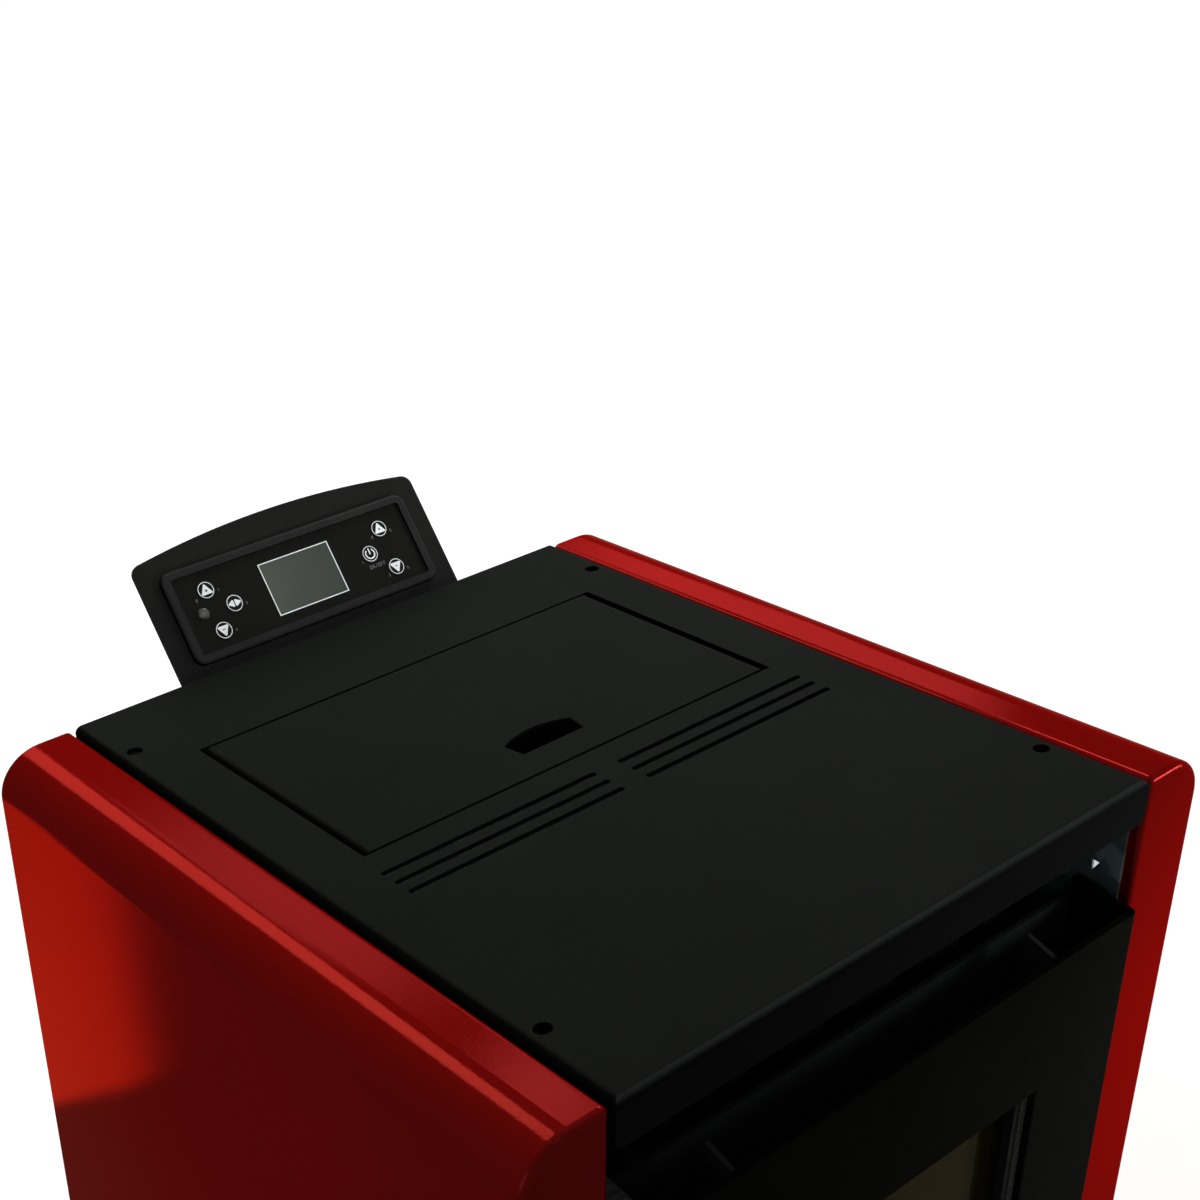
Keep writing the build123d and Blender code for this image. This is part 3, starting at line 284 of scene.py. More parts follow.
def moulded(name, low, high, rough=(0.4, 0.5), grain=1100.0, strength=0.12,
            specular=0.01, out=None):
    """Moulded plastic; out is the way a raised frame faces, whose sides get painted shade."""
    m = Maker(name)
    colour = m.tones(m.noise(22.0, 4.0), low, high)
    if out:
        # painted shade: the frame's sides darker than its face
        colour = m.blend(m.span(m.facing(out), 1.0, 0.0, 0.35, 0.75), colour, PAINTED_FRAME_SHADE)
    normal = m.bump(m.cells(grain), strength, 0.00012)
    roughness = m.between(m.noise(60.0, 5.0), *rough)
    return finish(m, Base_Color=colour, Roughness=roughness, Normal=normal,
                  Specular_IOR_Level=specular)


def lens(name):
    """A grey lamp lens with a bright spot at its middle."""
    m = Maker(name)
    place = m.nodes.new("ShaderNodeTexCoord")
    reach = m.nodes.new("ShaderNodeVectorMath")
    reach.operation = "DISTANCE"
    reach.inputs[1].default_value = (0.5, 0.5, 0.5)
    m.links.new(place.outputs["Generated"], reach.inputs[0])
    grain = m.math("MULTIPLY", m.noise(900.0, 2.0), 0.06)
    spot = m.math("ADD", reach.outputs["Value"], grain)
    colour = m.ramp(spot, [
        (0.10, srgb(236, 238, 230)), (0.24, srgb(92, 92, 88)),
        (0.5, srgb(52, 51, 49)), (0.7, srgb(40, 40, 39)),
    ])
    roughness = m.span(grain, 0.12, 0.2, 0.0, 0.06)
    normal = m.bump(m.noise(300.0, 2.0), 0.05, 0.0001)
    return finish(m, Base_Color=colour, Roughness=roughness, Normal=normal,
                  Specular_IOR_Level=0.2)


def fibre(name, low, high):
    """Glass-fibre rope: short threads and a little sheen."""
    m = Maker(name)
    thread = m.noise(1.0, 5.0, 0.7, m.mapped((1400, 1400, 1400)))
    normal = m.bump(thread, 0.5, 0.0003)
    roughness = m.between(m.noise(200.0), 0.75, 0.95)
    m.join("Sheen Weight", 0.05)
    return finish(m, Base_Color=m.tones(thread, low, high), Roughness=roughness,
                  Normal=normal, Specular_IOR_Level=0.05)


def pane(name):
    """Heat-proof glass with a warm tint and a faint smoke haze, so dark that it is painted shade
    over the firebox behind.
    """
    m = Maker(name)
    haze = m.noise(11.0, 5.0)
    # painted shade: the glass passes little light, so the firebox behind looks dim
    colour = m.ramp(haze, [(0.3, (0.16, 0.13, 0.045, 1)), (0.75, (0.135, 0.11, 0.037, 1))])
    roughness = m.span(m.noise(35.0, 4.0), 0.02, 0.06, 0.35, 0.7)
    m.join("Transmission Weight", 0.93)
    m.join("IOR", 1.03)
    normal = m.bump(m.noise(6.0, 2.0), 0.03, 0.0005)
    return finish(m, Base_Color=colour, Roughness=roughness, Normal=normal,
                  Specular_IOR_Level=0.05)


def display(name):
    """Unlit display: a grey-green field with a painted reflection that makes it lighter to the
    left, and faint fine rows.
    """
    m = Maker(name)
    split = m.nodes.new("ShaderNodeSeparateXYZ")
    m.links.new(m.coord, split.inputs["Vector"])
    # painted reflection: lighter to the left
    across = m.span(split.outputs["X"], 0.0, 1.0, -0.029, 0.029)
    slow = m.math("ADD", across, m.math("MULTIPLY", m.noise(30.0, 2.0), 0.18))
    colour = m.ramp(slow, [
        (0.0, srgb(83, 89, 81)), (0.5, srgb(73, 78, 72)), (1.0, srgb(66, 72, 67)),
    ])
    rows = m.noise(1.0, 2.0, 0.5, m.mapped((2500, 900, 900)))
    normal = m.bump(rows, 0.03, 0.0001)
    m.join("Coat Weight", 0.06)
    m.join("Coat Roughness", 0.06)
    return finish(m, Base_Color=colour, Roughness=m.span(rows, 0.22, 0.3), Normal=normal,
                  Specular_IOR_Level=0.03)


CONSOLE_WAY = (0, -0.731, 0.682)   # the way the leaning console faces
FILM_LOOK = (srgb(24, 25, 23), srgb(28, 29, 26), (0.34, 0.44), 2200.0, 0.05, 0.005)
INK = (1800.0, 0.04)               # grain and strength of printed ink
MATERIALS = {
    "red_paint": lacquer("red_lacquer", srgb(96, 2, 0), srgb(103, 3, 0)),
    "black_paint": powder("black_powder", srgb(18, 20, 19), srgb(20, 22, 21), (0.48, 0.52),
                          wear_and_highlight=0.05, fold=0.8),
    "door_paint": powder("door_powder", srgb(10, 10, 8), srgb(12, 12, 10), (0.5, 0.56),
                         specular=0.0005, wear_and_highlight=0.08),
    "galvanised": zinc("zinc_sheet"),
    "steel": brushed("plain_steel", (0.20, 0.20, 0.20, 1), (0.34, 0.34, 0.33, 1)),
    "heat_paint": powder("heat_paint", srgb(19, 21, 22), srgb(24, 26, 27), (0.65, 0.8),
                         900.0, 0.35, 0.02),
    "iron": casting("liner_stone", srgb(86, 68, 36), srgb(114, 92, 48)),
    "glass": pane("warm_glass"),
    # painted highlight: the dark rope's threads run up to pale grey, for its glints
    "rope": fibre("rope_with_painted_glints", srgb(44, 44, 42), srgb(118, 118, 113)),
    "grip": moulded("black_grip", srgb(12, 12, 12), srgb(18, 18, 18), (0.35, 0.5)),
    "bezel": moulded("bezel_plastic", srgb(36, 37, 36), srgb(41, 42, 41), (0.3, 0.4),
                     1600.0, 0.08, out=CONSOLE_WAY),
    "membrane": moulded("printed_film", *FILM_LOOK),
    "key": moulded("key_film", *FILM_LOOK),
    "display": display("display_face"),
    "led": lens("lamp_lens"),
    "case": moulded("black_case", srgb(16, 16, 16), srgb(24, 24, 24), (0.5, 0.62)),
    "motor": brushed("cast_aluminium", (0.42, 0.42, 0.42, 1), (0.6, 0.6, 0.6, 1),
                     (120, 120, 120), (0.4, 0.6)),
    "foot": moulded("foot_rubber", srgb(14, 14, 14), srgb(22, 22, 22), (0.7, 0.85)),
    "ceramic": casting("fired_ceramic", srgb(190, 186, 176), srgb(222, 218, 206)),
}
CAST_IRON = casting("cast_iron", srgb(26, 23, 20), srgb(46, 40, 32))
BRACKET = powder("bracket_powder", srgb(29, 30, 29), srgb(33, 34, 32), (0.48, 0.54))
# painted light: the ribs carry the door's black paint, made lighter to show the light on their
# tops
LIT_RIB_PAINT = powder("rib_paint_lightened", srgb(34, 34, 32), srgb(42, 42, 40), (0.5, 0.56))
WALL = zinc("wall_zinc", (0.62, 0.86, 0.91))
LOWER = powder("lower_powder", srgb(31, 32, 31), srgb(35, 36, 35), (0.5, 0.56))
# near-black heat exchanger: soot, and painted shade for the dark gap under the lip
SOOT_AND_SHADE = powder("soot_and_shade_black", srgb(4, 4, 4), srgb(7, 7, 7), (0.7, 0.85), 900.0, 0.3)
PRINT = moulded("white_print", srgb(228, 232, 234), srgb(242, 246, 248), (0.4, 0.5), *INK)
DIM_PRINT = moulded("grey_print", srgb(112, 116, 118), srgb(140, 144, 146), (0.4, 0.5), *INK)
# painted light: a white pad that glows, to show as bright as the background through the hole in
# the right wall
GLOW_PAD = moulded("glowing_white_pad", srgb(232, 238, 236), srgb(246, 250, 248), (0.5, 0.6), *INK)
glow_pad_shader = GLOW_PAD.node_tree.nodes["Principled BSDF"]
glow_pad_shader.inputs["Emission Color"].default_value = (0.9, 1.0, 0.97, 1)
glow_pad_shader.inputs["Emission Strength"].default_value = 0.6

for part in frame["record"]["subparts"]:
    node = frame["nodes"][part["node"]]
    node.data.materials.clear()
    node.data.materials.append(MATERIALS[part["material_slot"]])
for name, material in (
    ("burn_pot", CAST_IRON), ("fireback_plate", CAST_IRON), ("heat_exchanger", SOOT_AND_SHADE),
    ("console_bracket", BRACKET), ("door_ribs", LIT_RIB_PAINT),
    ("ash_drawer", LOWER), ("lower_front_panel", LOWER),
    ("left_chassis_wall", WALL), ("right_chassis_wall", WALL),
):
    frame["nodes"][name].data.materials[0] = material


# ---------------------------------------------------------------- mesh helpers
def piece(name, mesh, material, body, smooth=None):
    """A visible piece on its body; edges under smooth degrees are shaded round."""
    data = bpy.data.meshes.new(name)
    mesh.normal_update()
    mesh.to_mesh(data)
    mesh.free()
    obj = bpy.data.objects.new(name, data)
    bpy.context.scene.collection.objects.link(obj)
    data.materials.append(material)
    if smooth:
        data.polygons.foreach_set("use_smooth", [True] * len(data.polygons))
        data.set_sharp_from_angle(angle=math.radians(smooth))
    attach(obj, body)
    return obj


def add_prism(mesh, outline, to_world, low, high):
    """A thin solid over a flat outline; to_world maps (x, y, height) into the frame."""
    base = [mesh.verts.new(to_world(x, y, low)) for x, y in outline]
    top = [mesh.verts.new(to_world(x, y, high)) for x, y in outline]
    mesh.faces.new(top)
    mesh.faces.new(base[::-1])
    count = len(outline)
    for i in range(count):
        j = (i + 1) % count
        mesh.faces.new((base[i], base[j], top[j], top[i]))


def add_band(mesh, inner, outer, to_world, low, high, closed=True):
    """A flat band between two lines of points, with thickness."""
    rings = [
        [mesh.verts.new(to_world(x, y, h)) for x, y in line]
        for line, h in ((inner, low), (outer, low), (outer, high), (inner, high))
    ]
    count = len(inner)
    last = count if closed else count - 1
    for a, b in ((0, 1), (1, 2), (2, 3), (3, 0)):
        for i in range(last):
            j = (i + 1) % count
            mesh.faces.new((rings[a][i], rings[a][j], rings[b][j], rings[b][i]))
    if not closed:
        mesh.faces.new([rings[k][0] for k in (3, 2, 1, 0)])
        mesh.faces.new([rings[k][-1] for k in (0, 1, 2, 3)])


def arc_points(radius, start, end, count, centre=(0.0, 0.0)):
    """Points along an arc, from a start to an end angle in degrees."""
    angles = [math.radians(start + (end - start) * i / (count - 1)) for i in range(count)]
    return [(centre[0] + radius * math.cos(a), centre[1] + radius * math.sin(a)) for a in angles]


def add_circle(mesh, middle, side, other, radius, sides):
    """A ring of points in the plane of two directions."""
    angles = [2 * math.pi * k / sides for k in range(sides)]
    return [
        mesh.verts.new(middle + radius * (math.cos(a) * side + math.sin(a) * other))
        for a in angles
    ]


def add_looped_tube(mesh, path, radius, sides):
    """A round tube along a closed line of points."""
    count = len(path)
    rings = []
    up = Vector((0.31, 0.17, 0.93)).normalized()   # parallel to no stretch of the ropes
    for i, point in enumerate(path):
        ahead = (path[(i + 1) % count] - path[i - 1]).normalized()
        side = ahead.cross(up)
        side.normalize()
        rings.append(add_circle(mesh, point, side, side.cross(ahead), radius, sides))
    for i, a in enumerate(rings):
        b = rings[(i + 1) % count]
        for k in range(sides):
            n = (k + 1) % sides
            mesh.faces.new((a[k], a[n], b[n], b[k]))


def add_turned(mesh, profile, place, axis, sides):
    """A turned shape: (radius, height) pairs about an axis through a place."""
    axis = Vector(axis).normalized()
    side = axis.orthogonal().normalized()
    other = axis.cross(side)
    rings = []
    for radius, height in profile:
        middle = Vector(place) + axis * height
        if radius < 1e-7:
            rings.append([mesh.verts.new(middle)])
        else:
            rings.append(add_circle(mesh, middle, side, other, radius, sides))
    for a, b in zip(rings, rings[1:]):
        for k in range(sides):
            n = (k + 1) % sides
            if len(a) == 1:
                mesh.faces.new((a[0], b[n], b[k]))
            elif len(b) == 1:
                mesh.faces.new((a[k], a[n], b[0]))
            else:
                mesh.faces.new((a[k], a[n], b[n], b[k]))


# ---------------------------------------------------------------- console prints
TILT = math.radians(47.0)   # the lean of the console's face
UP_FACE = Vector((0, math.cos(TILT), math.sin(TILT)))
OUT = Vector((0, -math.sin(TILT), math.cos(TILT)))
CONSOLE_FOOT = Vector((0, 0.2541, 0.84715))
CONSOLE = CONSOLE_FOOT + 0.0076 * UP_FACE
# In console millimetres:
FILM = 2.6             # the film's face
KEY_TOP = 3.2          # the keys' faces
INK_LIFT = 0.05        # a print above what carries it
CROSS_LIFT = 0.03      # a dark sign above a white one
STROKE = 0.28          # the width of a digit's strokes
KEY_RING = (5.45, 5.95)
SCREEN_MIDDLE = 40
BORDER_OUTER = (29.15, 20.1)   # half width and half height of the white border
BORDER_INNER = (28.4, 19.35)


def on_console(x, v, w):
    """Console millimetres: across, up the face and out of it."""
    return CONSOLE + Vector((x * MM, 0, 0)) + UP_FACE * (v * MM) + OUT * (w * MM)


def shifted(points, x, v):
    """An outline moved to a place."""
    return [(x + px, v + py) for px, py in points]


def rounded_triangle(size, turn):
    """A filled triangle with soft corners; turn 0 points up."""
    points = []
    for corner in range(3):
        angle = 90 + turn + 120 * corner
        reach = size - 0.9
        centre = (reach * math.cos(math.radians(angle)), reach * math.sin(math.radians(angle)))
        points += arc_points(0.75, angle - 60, angle + 60, 7, centre)
    return points


def bar(x0, y0, x1, y1, width):
    """The outline of a straight stroke."""
    dx, dy = x1 - x0, y1 - y0
    length = math.hypot(dx, dy)
    nx, ny = -dy / length * width / 2, dx / length * width / 2
    return [(x0 + nx, y0 + ny), (x0 - nx, y0 - ny), (x1 - nx, y1 - ny), (x1 + nx, y1 + ny)]


# Each stroke goes from x, y to x, y in halves of the height.
GLYPHS = {
    "1": [(-0.3, 0.6, 0, 1), (0, 1, 0, -1)],
    "2": [(-0.6, 1, 0.6, 1), (0.6, 1, 0.6, 0), (0.6, 0, -0.6, 0), (-0.6, 0, -0.6, -1),
          (-0.6, -1, 0.6, -1)],
    "3": [(-0.6, 1, 0.6, 1), (0.6, 1, 0.6, -1), (-0.4, 0, 0.6, 0), (-0.6, -1, 0.6, -1)],
    "4": [(-0.6, 1, -0.6, 0), (-0.6, 0, 0.6, 0), (0.5, 1, 0.5, -1)],
    "5": [(0.6, 1, -0.6, 1), (-0.6, 1, -0.6, 0), (-0.6, 0, 0.6, 0), (0.6, 0, 0.6, -1),
          (0.6, -1, -0.6, -1)],
    "6": [(0.6, 1, -0.6, 1), (-0.6, 1, -0.6, -1), (-0.6, -1, 0.6, -1), (0.6, -1, 0.6, 0),
          (0.6, 0, -0.6, 0)],
    "O": [(-0.6, 1, 0.6, 1), (0.6, 1, 0.6, -1), (0.6, -1, -0.6, -1), (-0.6, -1, -0.6, 1)],
    "N": [(-0.6, -1, -0.6, 1), (-0.6, 1, 0.6, -1), (0.6, -1, 0.6, 1)],
    "F": [(-0.6, -1, -0.6, 1), (-0.6, 1, 0.6, 1), (-0.6, 0, 0.4, 0)],
    "/": [(-0.5, -1, 0.5, 1)],
}


def write_marks(mesh, text, x, v, height):
    """Plain stroke digits and ON/OFF, a hair above the film."""
    half = height / 2
    for index, letter in enumerate(text):
        middle = x + (index - (len(text) - 1) / 2) * height * 0.92
        for x0, y0, x1, y1 in GLYPHS[letter]:
            line = bar(x0 * half * 0.9, y0 * half, x1 * half * 0.9, y1 * half, STROKE)
            add_prism(mesh, shifted(line, middle, v), on_console, FILM, FILM + INK_LIFT)


KEYS = {
    "left_up_key": (-73.0, 55.5),
    "left_set_key": (-57.3, 40.0),
    "left_down_key": (-73.0, 24.5),
    "right_up_key": (73.0, 55.5),
    "power_key": (57.3, 40.0),
    "right_down_key": (73.0, 24.5),
}


def key_print(name, x, v):
    """A key's white ring and sign, and the dark plus or minus inside a triangle."""
    white = bmesh.new()
    dark = bmesh.new()
    top = KEY_TOP + INK_LIFT

    def ring(low, high, start, end, count, closed=True):
        inner, outer = (arc_points(r, start, end, count, (x, v)) for r in (low, high))
        add_band(white, inner, outer, on_console, KEY_TOP, top, closed)

    def sign(mesh, outline, dx, dv, low, high):
        add_prism(mesh, shifted(outline, x + dx, v + dv), on_console, low, high)

    ring(*KEY_RING, 0, 352.5, 48)
    if name == "power_key":
        ring(3.1, 4.1, 125, 415, 34, closed=False)
        sign(white, bar(0, -0.4, 0, 4.3, 1.05), 0, 0, KEY_TOP, top)
    elif name == "left_set_key":
        for side, turn in ((-1, 90), (1, -90)):
            sign(white, rounded_triangle(2.9, turn), side * 2.15, 0, KEY_TOP, top)
    else:
        turn, drop = (180, 0.5) if "down" in name else (0, -0.5)
        sign(white, rounded_triangle(4.9, turn), 0, drop, KEY_TOP, top)
        size = 1.15 if name.startswith("left") else 0.85
        sign(dark, bar(-size, 0, size, 0, 0.6), 0, drop, top, top + CROSS_LIFT)
        if "up" in name:
            sign(dark, bar(0, -size, 0, size, 0.6), 0, drop, top, top + CROSS_LIFT)
    piece(name + "_sign", white, PRINT, name)
    if dark.verts:
        piece(name + "_cross", dark, MATERIALS["key"], name)
    else:
        dark.free()


for key_name, (key_x, key_v) in KEYS.items():
    key_print(key_name, key_x, key_v)

marks = bmesh.new()
for text, x, v, height in (
    ("1", -63.9, 53.0, 1.9), ("2", -82.4, 50.4, 1.9), ("3", -48.6, 37.4, 1.9),
    ("4", -64.0, 21.8, 1.9), ("5", 81.6, 51.6, 1.9), ("2", 65.0, 51.0, 1.9),
    ("1", 49.0, 35.6, 1.9), ("ON/OFF", 59.5, 30.2, 2.6),
    ("6", 81.8, 21.0, 1.9), ("3", 64.8, 20.2, 1.9),
):
    write_marks(marks, text, x, v, height)
piece("film_marks", marks, DIM_PRINT, "stove")

border = bmesh.new()
outer, inner = (
    shifted([(-w, -h), (w, -h), (w, h), (-w, h)], 0, SCREEN_MIDDLE)
    for w, h in (BORDER_OUTER, BORDER_INNER)
)
add_band(border, inner, outer, on_console, FILM + 0.2, FILM + 0.3)
piece("display_border", border, PRINT, "stove")


# ---------------------------------------------------------------- braided ropes
STEPS_PER_TURN = 9


def rope_ring(name, node, body, half_x, low, high, depth, radius, pitch, corner):
    """A three-strand rope round an upright rectangle, in place of a plain ring.

    The half width, heights, depth and corner radius are those of its middle line, and the
    pitch is the length of one turn of a strand.
    """
    x, z0, z1 = half_x - corner, low + corner, high - corner
    line = []
    for cx, cz, start in ((x, z1, 0), (-x, z1, 90), (-x, z0, 180), (x, z0, 270)):
        line += arc_points(corner, start, start + 90, 6, (cx, cz))
    line.append(line[0])
    dense = []
    for (ax, az), (bx, bz) in zip(line, line[1:]):
        steps = max(1, int(math.hypot(bx - ax, bz - az) / (pitch / STEPS_PER_TURN)))
        dense += [(ax + (bx - ax) * i / steps, az + (bz - az) * i / steps) for i in range(steps)]
    total = sum(math.dist(dense[i], dense[(i + 1) % len(dense)]) for i in range(len(dense)))
    turns = round(total / pitch)
    lift = radius * 0.48
    mesh = bmesh.new()
    for strand in range(3):
        path = []
        run = 0.0
        for i, (px, pz) in enumerate(dense):
            nx, nz = dense[(i + 1) % len(dense)]
            bx, bz = dense[i - 1]
            length = math.hypot(nx - bx, nz - bz)
            out = ((nz - bz) / length, -(nx - bx) / length)
            angle = 2 * math.pi * (turns * run / total + strand / 3)
            path.append(Vector((
                px + out[0] * lift * math.cos(angle),
                depth + lift * math.sin(angle),
                pz + out[1] * lift * math.cos(angle),
            )))
            run += math.dist((px, pz), (nx, nz))
        add_looped_tube(mesh, path, radius * 0.5, 7)
    rope = piece(name, mesh, MATERIALS["rope"], body, smooth=80)
    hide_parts(node)


rope_ring("window_seal_rope", "window_seal", "door", half_x=0.1230, low=0.4375, high=0.7475,
          depth=FRONT_Y - 0.0034, radius=0.0019, pitch=0.0174, corner=0.003)
rope_ring("door_gasket_rope", "door_gasket", "door", half_x=0.1507, low=0.3083, high=0.7937,
          depth=FRONT_Y + 0.0353, radius=0.0042, pitch=0.026, corner=0.012)


# ---------------------------------------------------------------- fasteners
BOX_FACES = (   # the corners of each side, four below and four above
    (0, 3, 2, 1), (4, 5, 6, 7), (0, 1, 5, 4), (1, 2, 6, 5), (2, 3, 7, 6), (3, 0, 4, 7),
)


def add_screw(mesh, place, axis, radius=0.0042, height=0.0022):
    """Domed head with a cross recess on a thin washer."""
    axis = Vector(axis).normalized()
    place = Vector(place)
    washer = [(0, 0), (radius * 1.35, 0), (radius * 1.4, 0.0003), (radius * 1.35, 0.0006)]
    dome = [
        (radius, 0.0007), (radius, height * 0.55), (radius * 0.86, height * 0.82),
        (radius * 0.55, height), (radius * 0.5, height * 0.97), (radius * 0.16, height * 0.6),
        (0, height * 0.55),
    ]
    add_turned(mesh, washer + dome, place, axis, 20)
    side = axis.orthogonal().normalized()
    other = axis.cross(side)
    for a, b in ((side, other), (other, side)):
        corners = [
            place + axis * h + a * (s * radius * 0.5) + b * (t * radius * 0.1)
            for h in (height * 0.62, height * 1.0)
            for s, t in ((-1, -1), (1, -1), (1, 1), (-1, 1))
        ]
        verts = [mesh.verts.new(c) for c in corners]
        for quad in BOX_FACES:
            mesh.faces.new([verts[q] for q in quad])


rear = bmesh.new()
for side_x in (-0.193, 0.193):
    for level in (0.05, 0.30, 0.55, 0.80):
        add_screw(rear, (side_x, REAR_Y, level), (0, 1, 0))
for cross_x in (-0.10, 0.10):
    add_screw(rear, (cross_x, REAR_Y, 0.05), (0, 1, 0))
    add_screw(rear, (cross_x, REAR_Y + BRACKET_PLATE, 0.822), (0, 1, 0))
piece("rear_panel_screws", rear, MATERIALS["steel"], "stove", smooth=30)

corner = bmesh.new()
NORMAL = Vector((0, -math.sin(SLOPE), math.cos(SLOPE)))
HEAD_DEPTH = 0.012   # the screws lie this far below the top's access holes
for side_x in (-0.190, 0.190):
    for along in (0.0674, 0.4834):
        level = TOP_FRONT_Z + along * math.sin(SLOPE)
        at = Vector((side_x, FRONT_Y + along * math.cos(SLOPE), level))
        add_screw(corner, at - NORMAL * HEAD_DEPTH, NORMAL, height=0.0030)
heads = piece("top_plate_screw_heads", corner, MATERIALS["steel"], "stove", smooth=30)
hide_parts("top_plate_screws")


# ---------------------------------------------------------------- small details
def at_side(y, z, x):
    """Millimetres on the right wall: back from the front, up, and across."""
    return Vector((x * MM, FRONT_Y + y * MM, z * MM))


def at_rear(x, z, out):
    """Millimetres on the rear panel: across, up and out."""
    return Vector((x * MM, REAR_Y + out * MM, z * MM))


# the glowing pad behind the right wall's hole: painted light
pad = bmesh.new()
pad_outline = [(21.5, 847.0), (28.7, 847.0), (28.7, 857.9), (21.5, 857.9)]
add_prism(pad, pad_outline, at_side, 204.05, 204.5)
piece("glowing_wall_pad", pad, GLOW_PAD, "stove")

switch_marks = bmesh.new()
add_prism(switch_marks, shifted(bar(0, -1.6, 0, 1.6, 0.7), 172, 141.5), at_rear, 1.30, 1.45)
inner, outer = (arc_points(r, 0, 345, 24, (172, 128.5)) for r in (1.3, 1.9))
add_band(switch_marks, inner, outer, at_rear, 2.6, 2.9)
piece("rocker_marks", switch_marks, PRINT, "rocker")


# ---------------------------------------------------------------- floor, light and camera
def seen_background(nodes, links):
    """1 on a ray that shows the background: straight, mirrored or through glass."""
    path = nodes.new("ShaderNodeLightPath")
    value = path.outputs["Is Camera Ray"]
    for ray in ("Is Glossy Ray", "Is Transmission Ray"):
        larger = nodes.new("ShaderNodeMath")
        larger.operation = "MAXIMUM"
        links.new(value, larger.inputs[0])
        links.new(path.outputs[ray], larger.inputs[1])
        value = larger.outputs["Value"]
    return value


def stage_floor():
    """A pale floor whose glow is painted light: white far off, and weaker near the stove so that
    it is a little darker there.
    """
    mesh = bmesh.new()
    size = 14.0
    corners = ((-1, -1), (1, -1), (1, 1), (-1, 1))
    mesh.faces.new([mesh.verts.new((x * size, y * size, 0)) for x, y in corners])
    data = bpy.data.meshes.new("floor")
    mesh.to_mesh(data)
    mesh.free()
    floor = bpy.data.objects.new("floor", data)
    bpy.context.scene.collection.objects.link(floor)
    mat = bpy.data.materials.new("floor_white")
    mat.use_nodes = True
    nodes, links = mat.node_tree.nodes, mat.node_tree.links
    shader = nodes["Principled BSDF"]
    shader.inputs["Base Color"].default_value = (0.25, 0.25, 0.25, 1)
    shader.inputs["Roughness"].default_value = 0.9
    shader.inputs["Specular IOR Level"].default_value = 0.1
    shader.inputs["Emission Color"].default_value = (1, 1, 1, 1)
    place = nodes.new("ShaderNodeTexCoord")
    reach = nodes.new("ShaderNodeVectorMath")
    reach.operation = "LENGTH"
    links.new(place.outputs["Object"], reach.inputs[0])
    # painted light: the glow grows away from the stove, making up for the lamps' falloff
    glow = nodes.new("ShaderNodeMapRange")
    for socket, value in (("From Min", 0.7), ("From Max", 2.6), ("To Min", 0.76), ("To Max", 1.0)):
        glow.inputs[socket].default_value = value
    links.new(reach.outputs["Value"], glow.inputs["Value"])
    weak = nodes.new("ShaderNodeMath")
    weak.operation = "MULTIPLY"
    links.new(seen_background(nodes, links), weak.inputs[0])
    links.new(glow.outputs["Result"], weak.inputs[1])
    links.new(weak.outputs["Value"], shader.inputs["Emission Strength"])
    data.materials.append(mat)


def placed(side, rise, back, place):
    """The matrix of a lamp or camera that looks away from back."""
    return Matrix((
        (side.x, rise.x, back.x, place[0]),
        (side.y, rise.y, back.y, place[1]),
        (side.z, rise.z, back.z, place[2]),
        (0, 0, 0, 1),
    ))


def lamp(name, place, target, size, power, lie=(1, 0, 0), spread=180, colour=(1, 1, 1)):
    """A soft box of some watts that faces a target; its first side lies along a direction."""
    data = bpy.data.lights.new(name, "AREA")
    data.shape = "RECTANGLE"
    data.size, data.size_y = size
    data.energy = power
    data.color = colour
    data.spread = math.radians(spread)
    obj = bpy.data.objects.new(name, data)
    bpy.context.scene.collection.objects.link(obj)
    obj.visible_camera = False
    back = (Vector(place) - Vector(target)).normalized()
    side = (Vector(lie) - back * back.dot(Vector(lie))).normalized()
    obj.matrix_world = placed(side, back.cross(side), back, place)


def world_light():
    """A white background that gives only a faint light."""
    world = bpy.data.worlds.new("studio")
    bpy.context.scene.world = world
    world.use_nodes = True
    nodes, links = world.node_tree.nodes, world.node_tree.links
    back = nodes["Background"]
    back.inputs["Color"].default_value = (1, 1, 1, 1)
    strength = nodes.new("ShaderNodeMapRange")
    strength.inputs["To Min"].default_value = 0.06
    strength.inputs["To Max"].default_value = 1.0
    links.new(seen_background(nodes, links), strength.inputs["Value"])
    links.new(strength.outputs["Result"], back.inputs["Strength"])


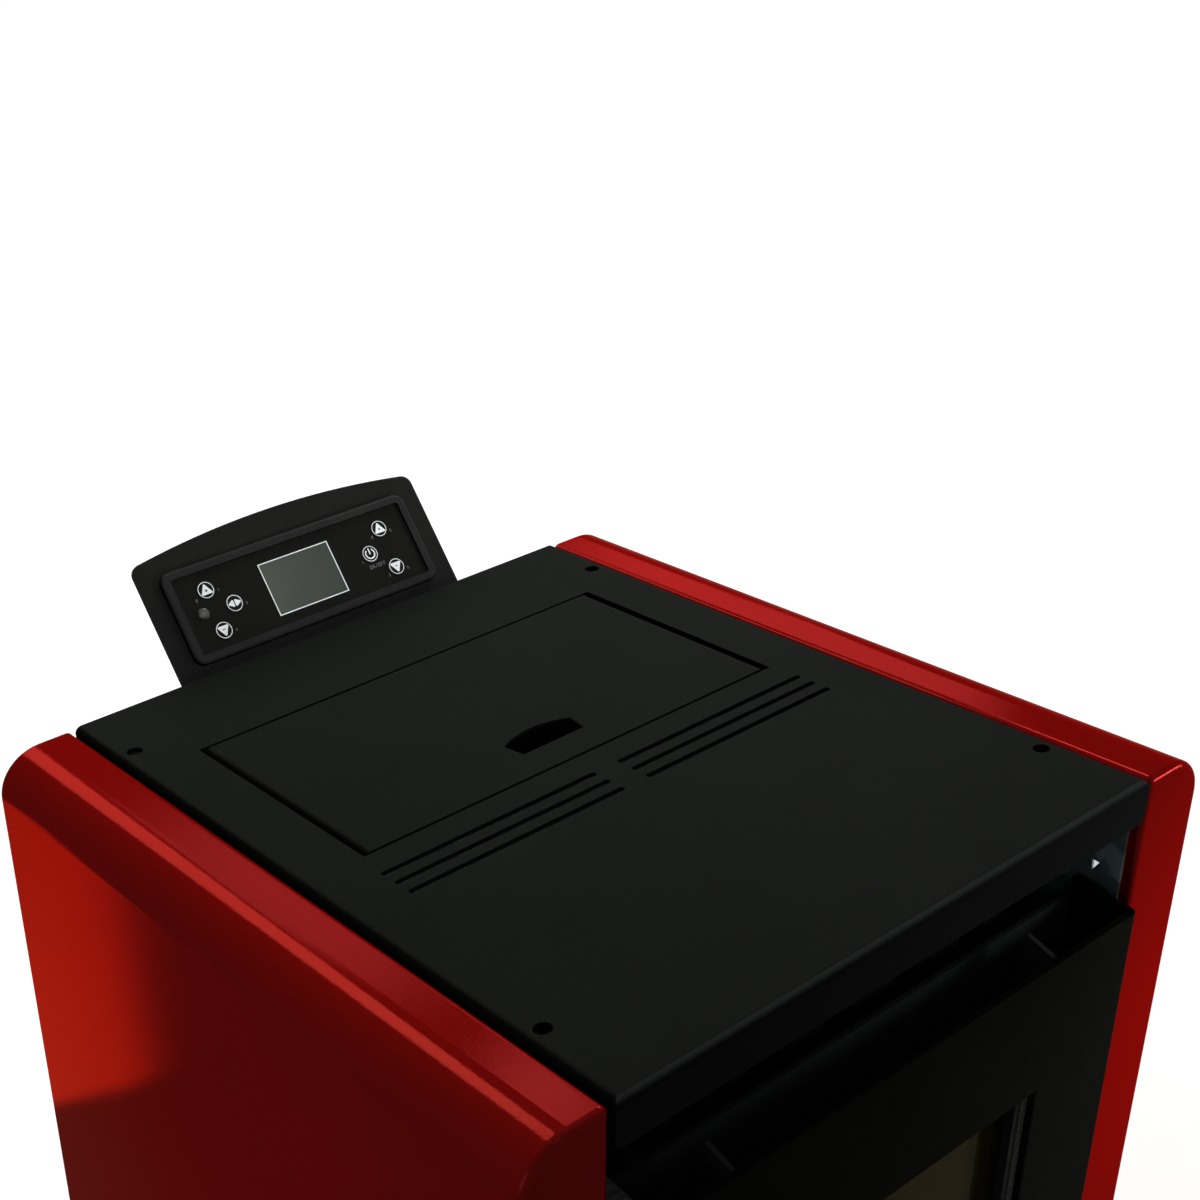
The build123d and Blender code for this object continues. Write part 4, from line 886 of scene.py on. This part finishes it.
stage_floor()
world_light()
AIM_LEFT = (-0.23, 0.0, 0.90)   # what the rear lamps face
AIM_RIGHT = (0.1, 0.0, 0.90)
lamp("overhead", (0.1, 0.0, 3.0), (0, 0, 0.9), (2.0, 2.0), 4)
lamp("left", (-0.412, 0.57, 0.438), (-0.272, 0.21, 0.758), (0.105, 0.30), 0.056,
     lie=(0.93, 0.36, 0), spread=60, colour=(1.0, 0.28, 0.06))
lamp("left_fill", (-2.6, -0.3, 1.0), (0, 0, 0.6), (1.5, 1.5), 12)
lamp("front", (0.5, -2.4, 1.3), (0, 0, 0.5), (1.6, 1.6), 1)
lamp("front_right", (0.80, -0.70, 0.90), (0.42, -0.29, 0.72), (0.3, 0.3), 2.4, spread=64)
lamp("console", (-0.1, -0.6, 1.7), (0, 0.2, 0.9), (0.4, 0.4), 0.28, spread=40)
lamp("rear_left", (-0.16, 1.6, 1.95), AIM_LEFT, (0.56, 1.15), 24, colour=(1.0, 0.9, 0.66))
lamp("rear_high", (0.60, 1.70, 1.78), AIM_LEFT, (0.75, 0.40), 5.2, colour=(0.8, 1.0, 1.0))
lamp("strip_end", (0.322, 0.605, 1.549), (-0.22, -0.26, 0.924), (0.12, 0.12), 0.34)
lamp("rear_right", (1.6, 1.6, 1.65), AIM_RIGHT, (0.7, 0.6), 9.5)
lamp("right_high", (1.4, 0.9, 2.3), AIM_RIGHT, (0.7, 0.7), 32)

# The camera as worked out from the photo's straight edges.
CAMERA_PLACE = (-0.6461, -0.7901, 1.5774)
LOOK = Vector((0.5666, 0.6570, -0.4973)).normalized()
ROLL = math.radians(0.80)
LENS_MM = 59.31
SENSOR_MM = 36.0
flat_right = LOOK.cross(Vector((0, 0, 1))).normalized()
flat_up = flat_right.cross(LOOK)
right = flat_right * math.cos(ROLL) + flat_up * math.sin(ROLL)
up = flat_up * math.cos(ROLL) - flat_right * math.sin(ROLL)
camera = bpy.data.objects.new("camera", bpy.data.cameras.new("camera"))
bpy.context.scene.collection.objects.link(camera)
camera.data.lens = LENS_MM
camera.data.sensor_width = SENSOR_MM
camera.matrix_world = placed(right, up, -LOOK, CAMERA_PLACE)
bpy.context.scene.camera = camera
bpy.context.scene.view_settings.view_transform = "Standard"
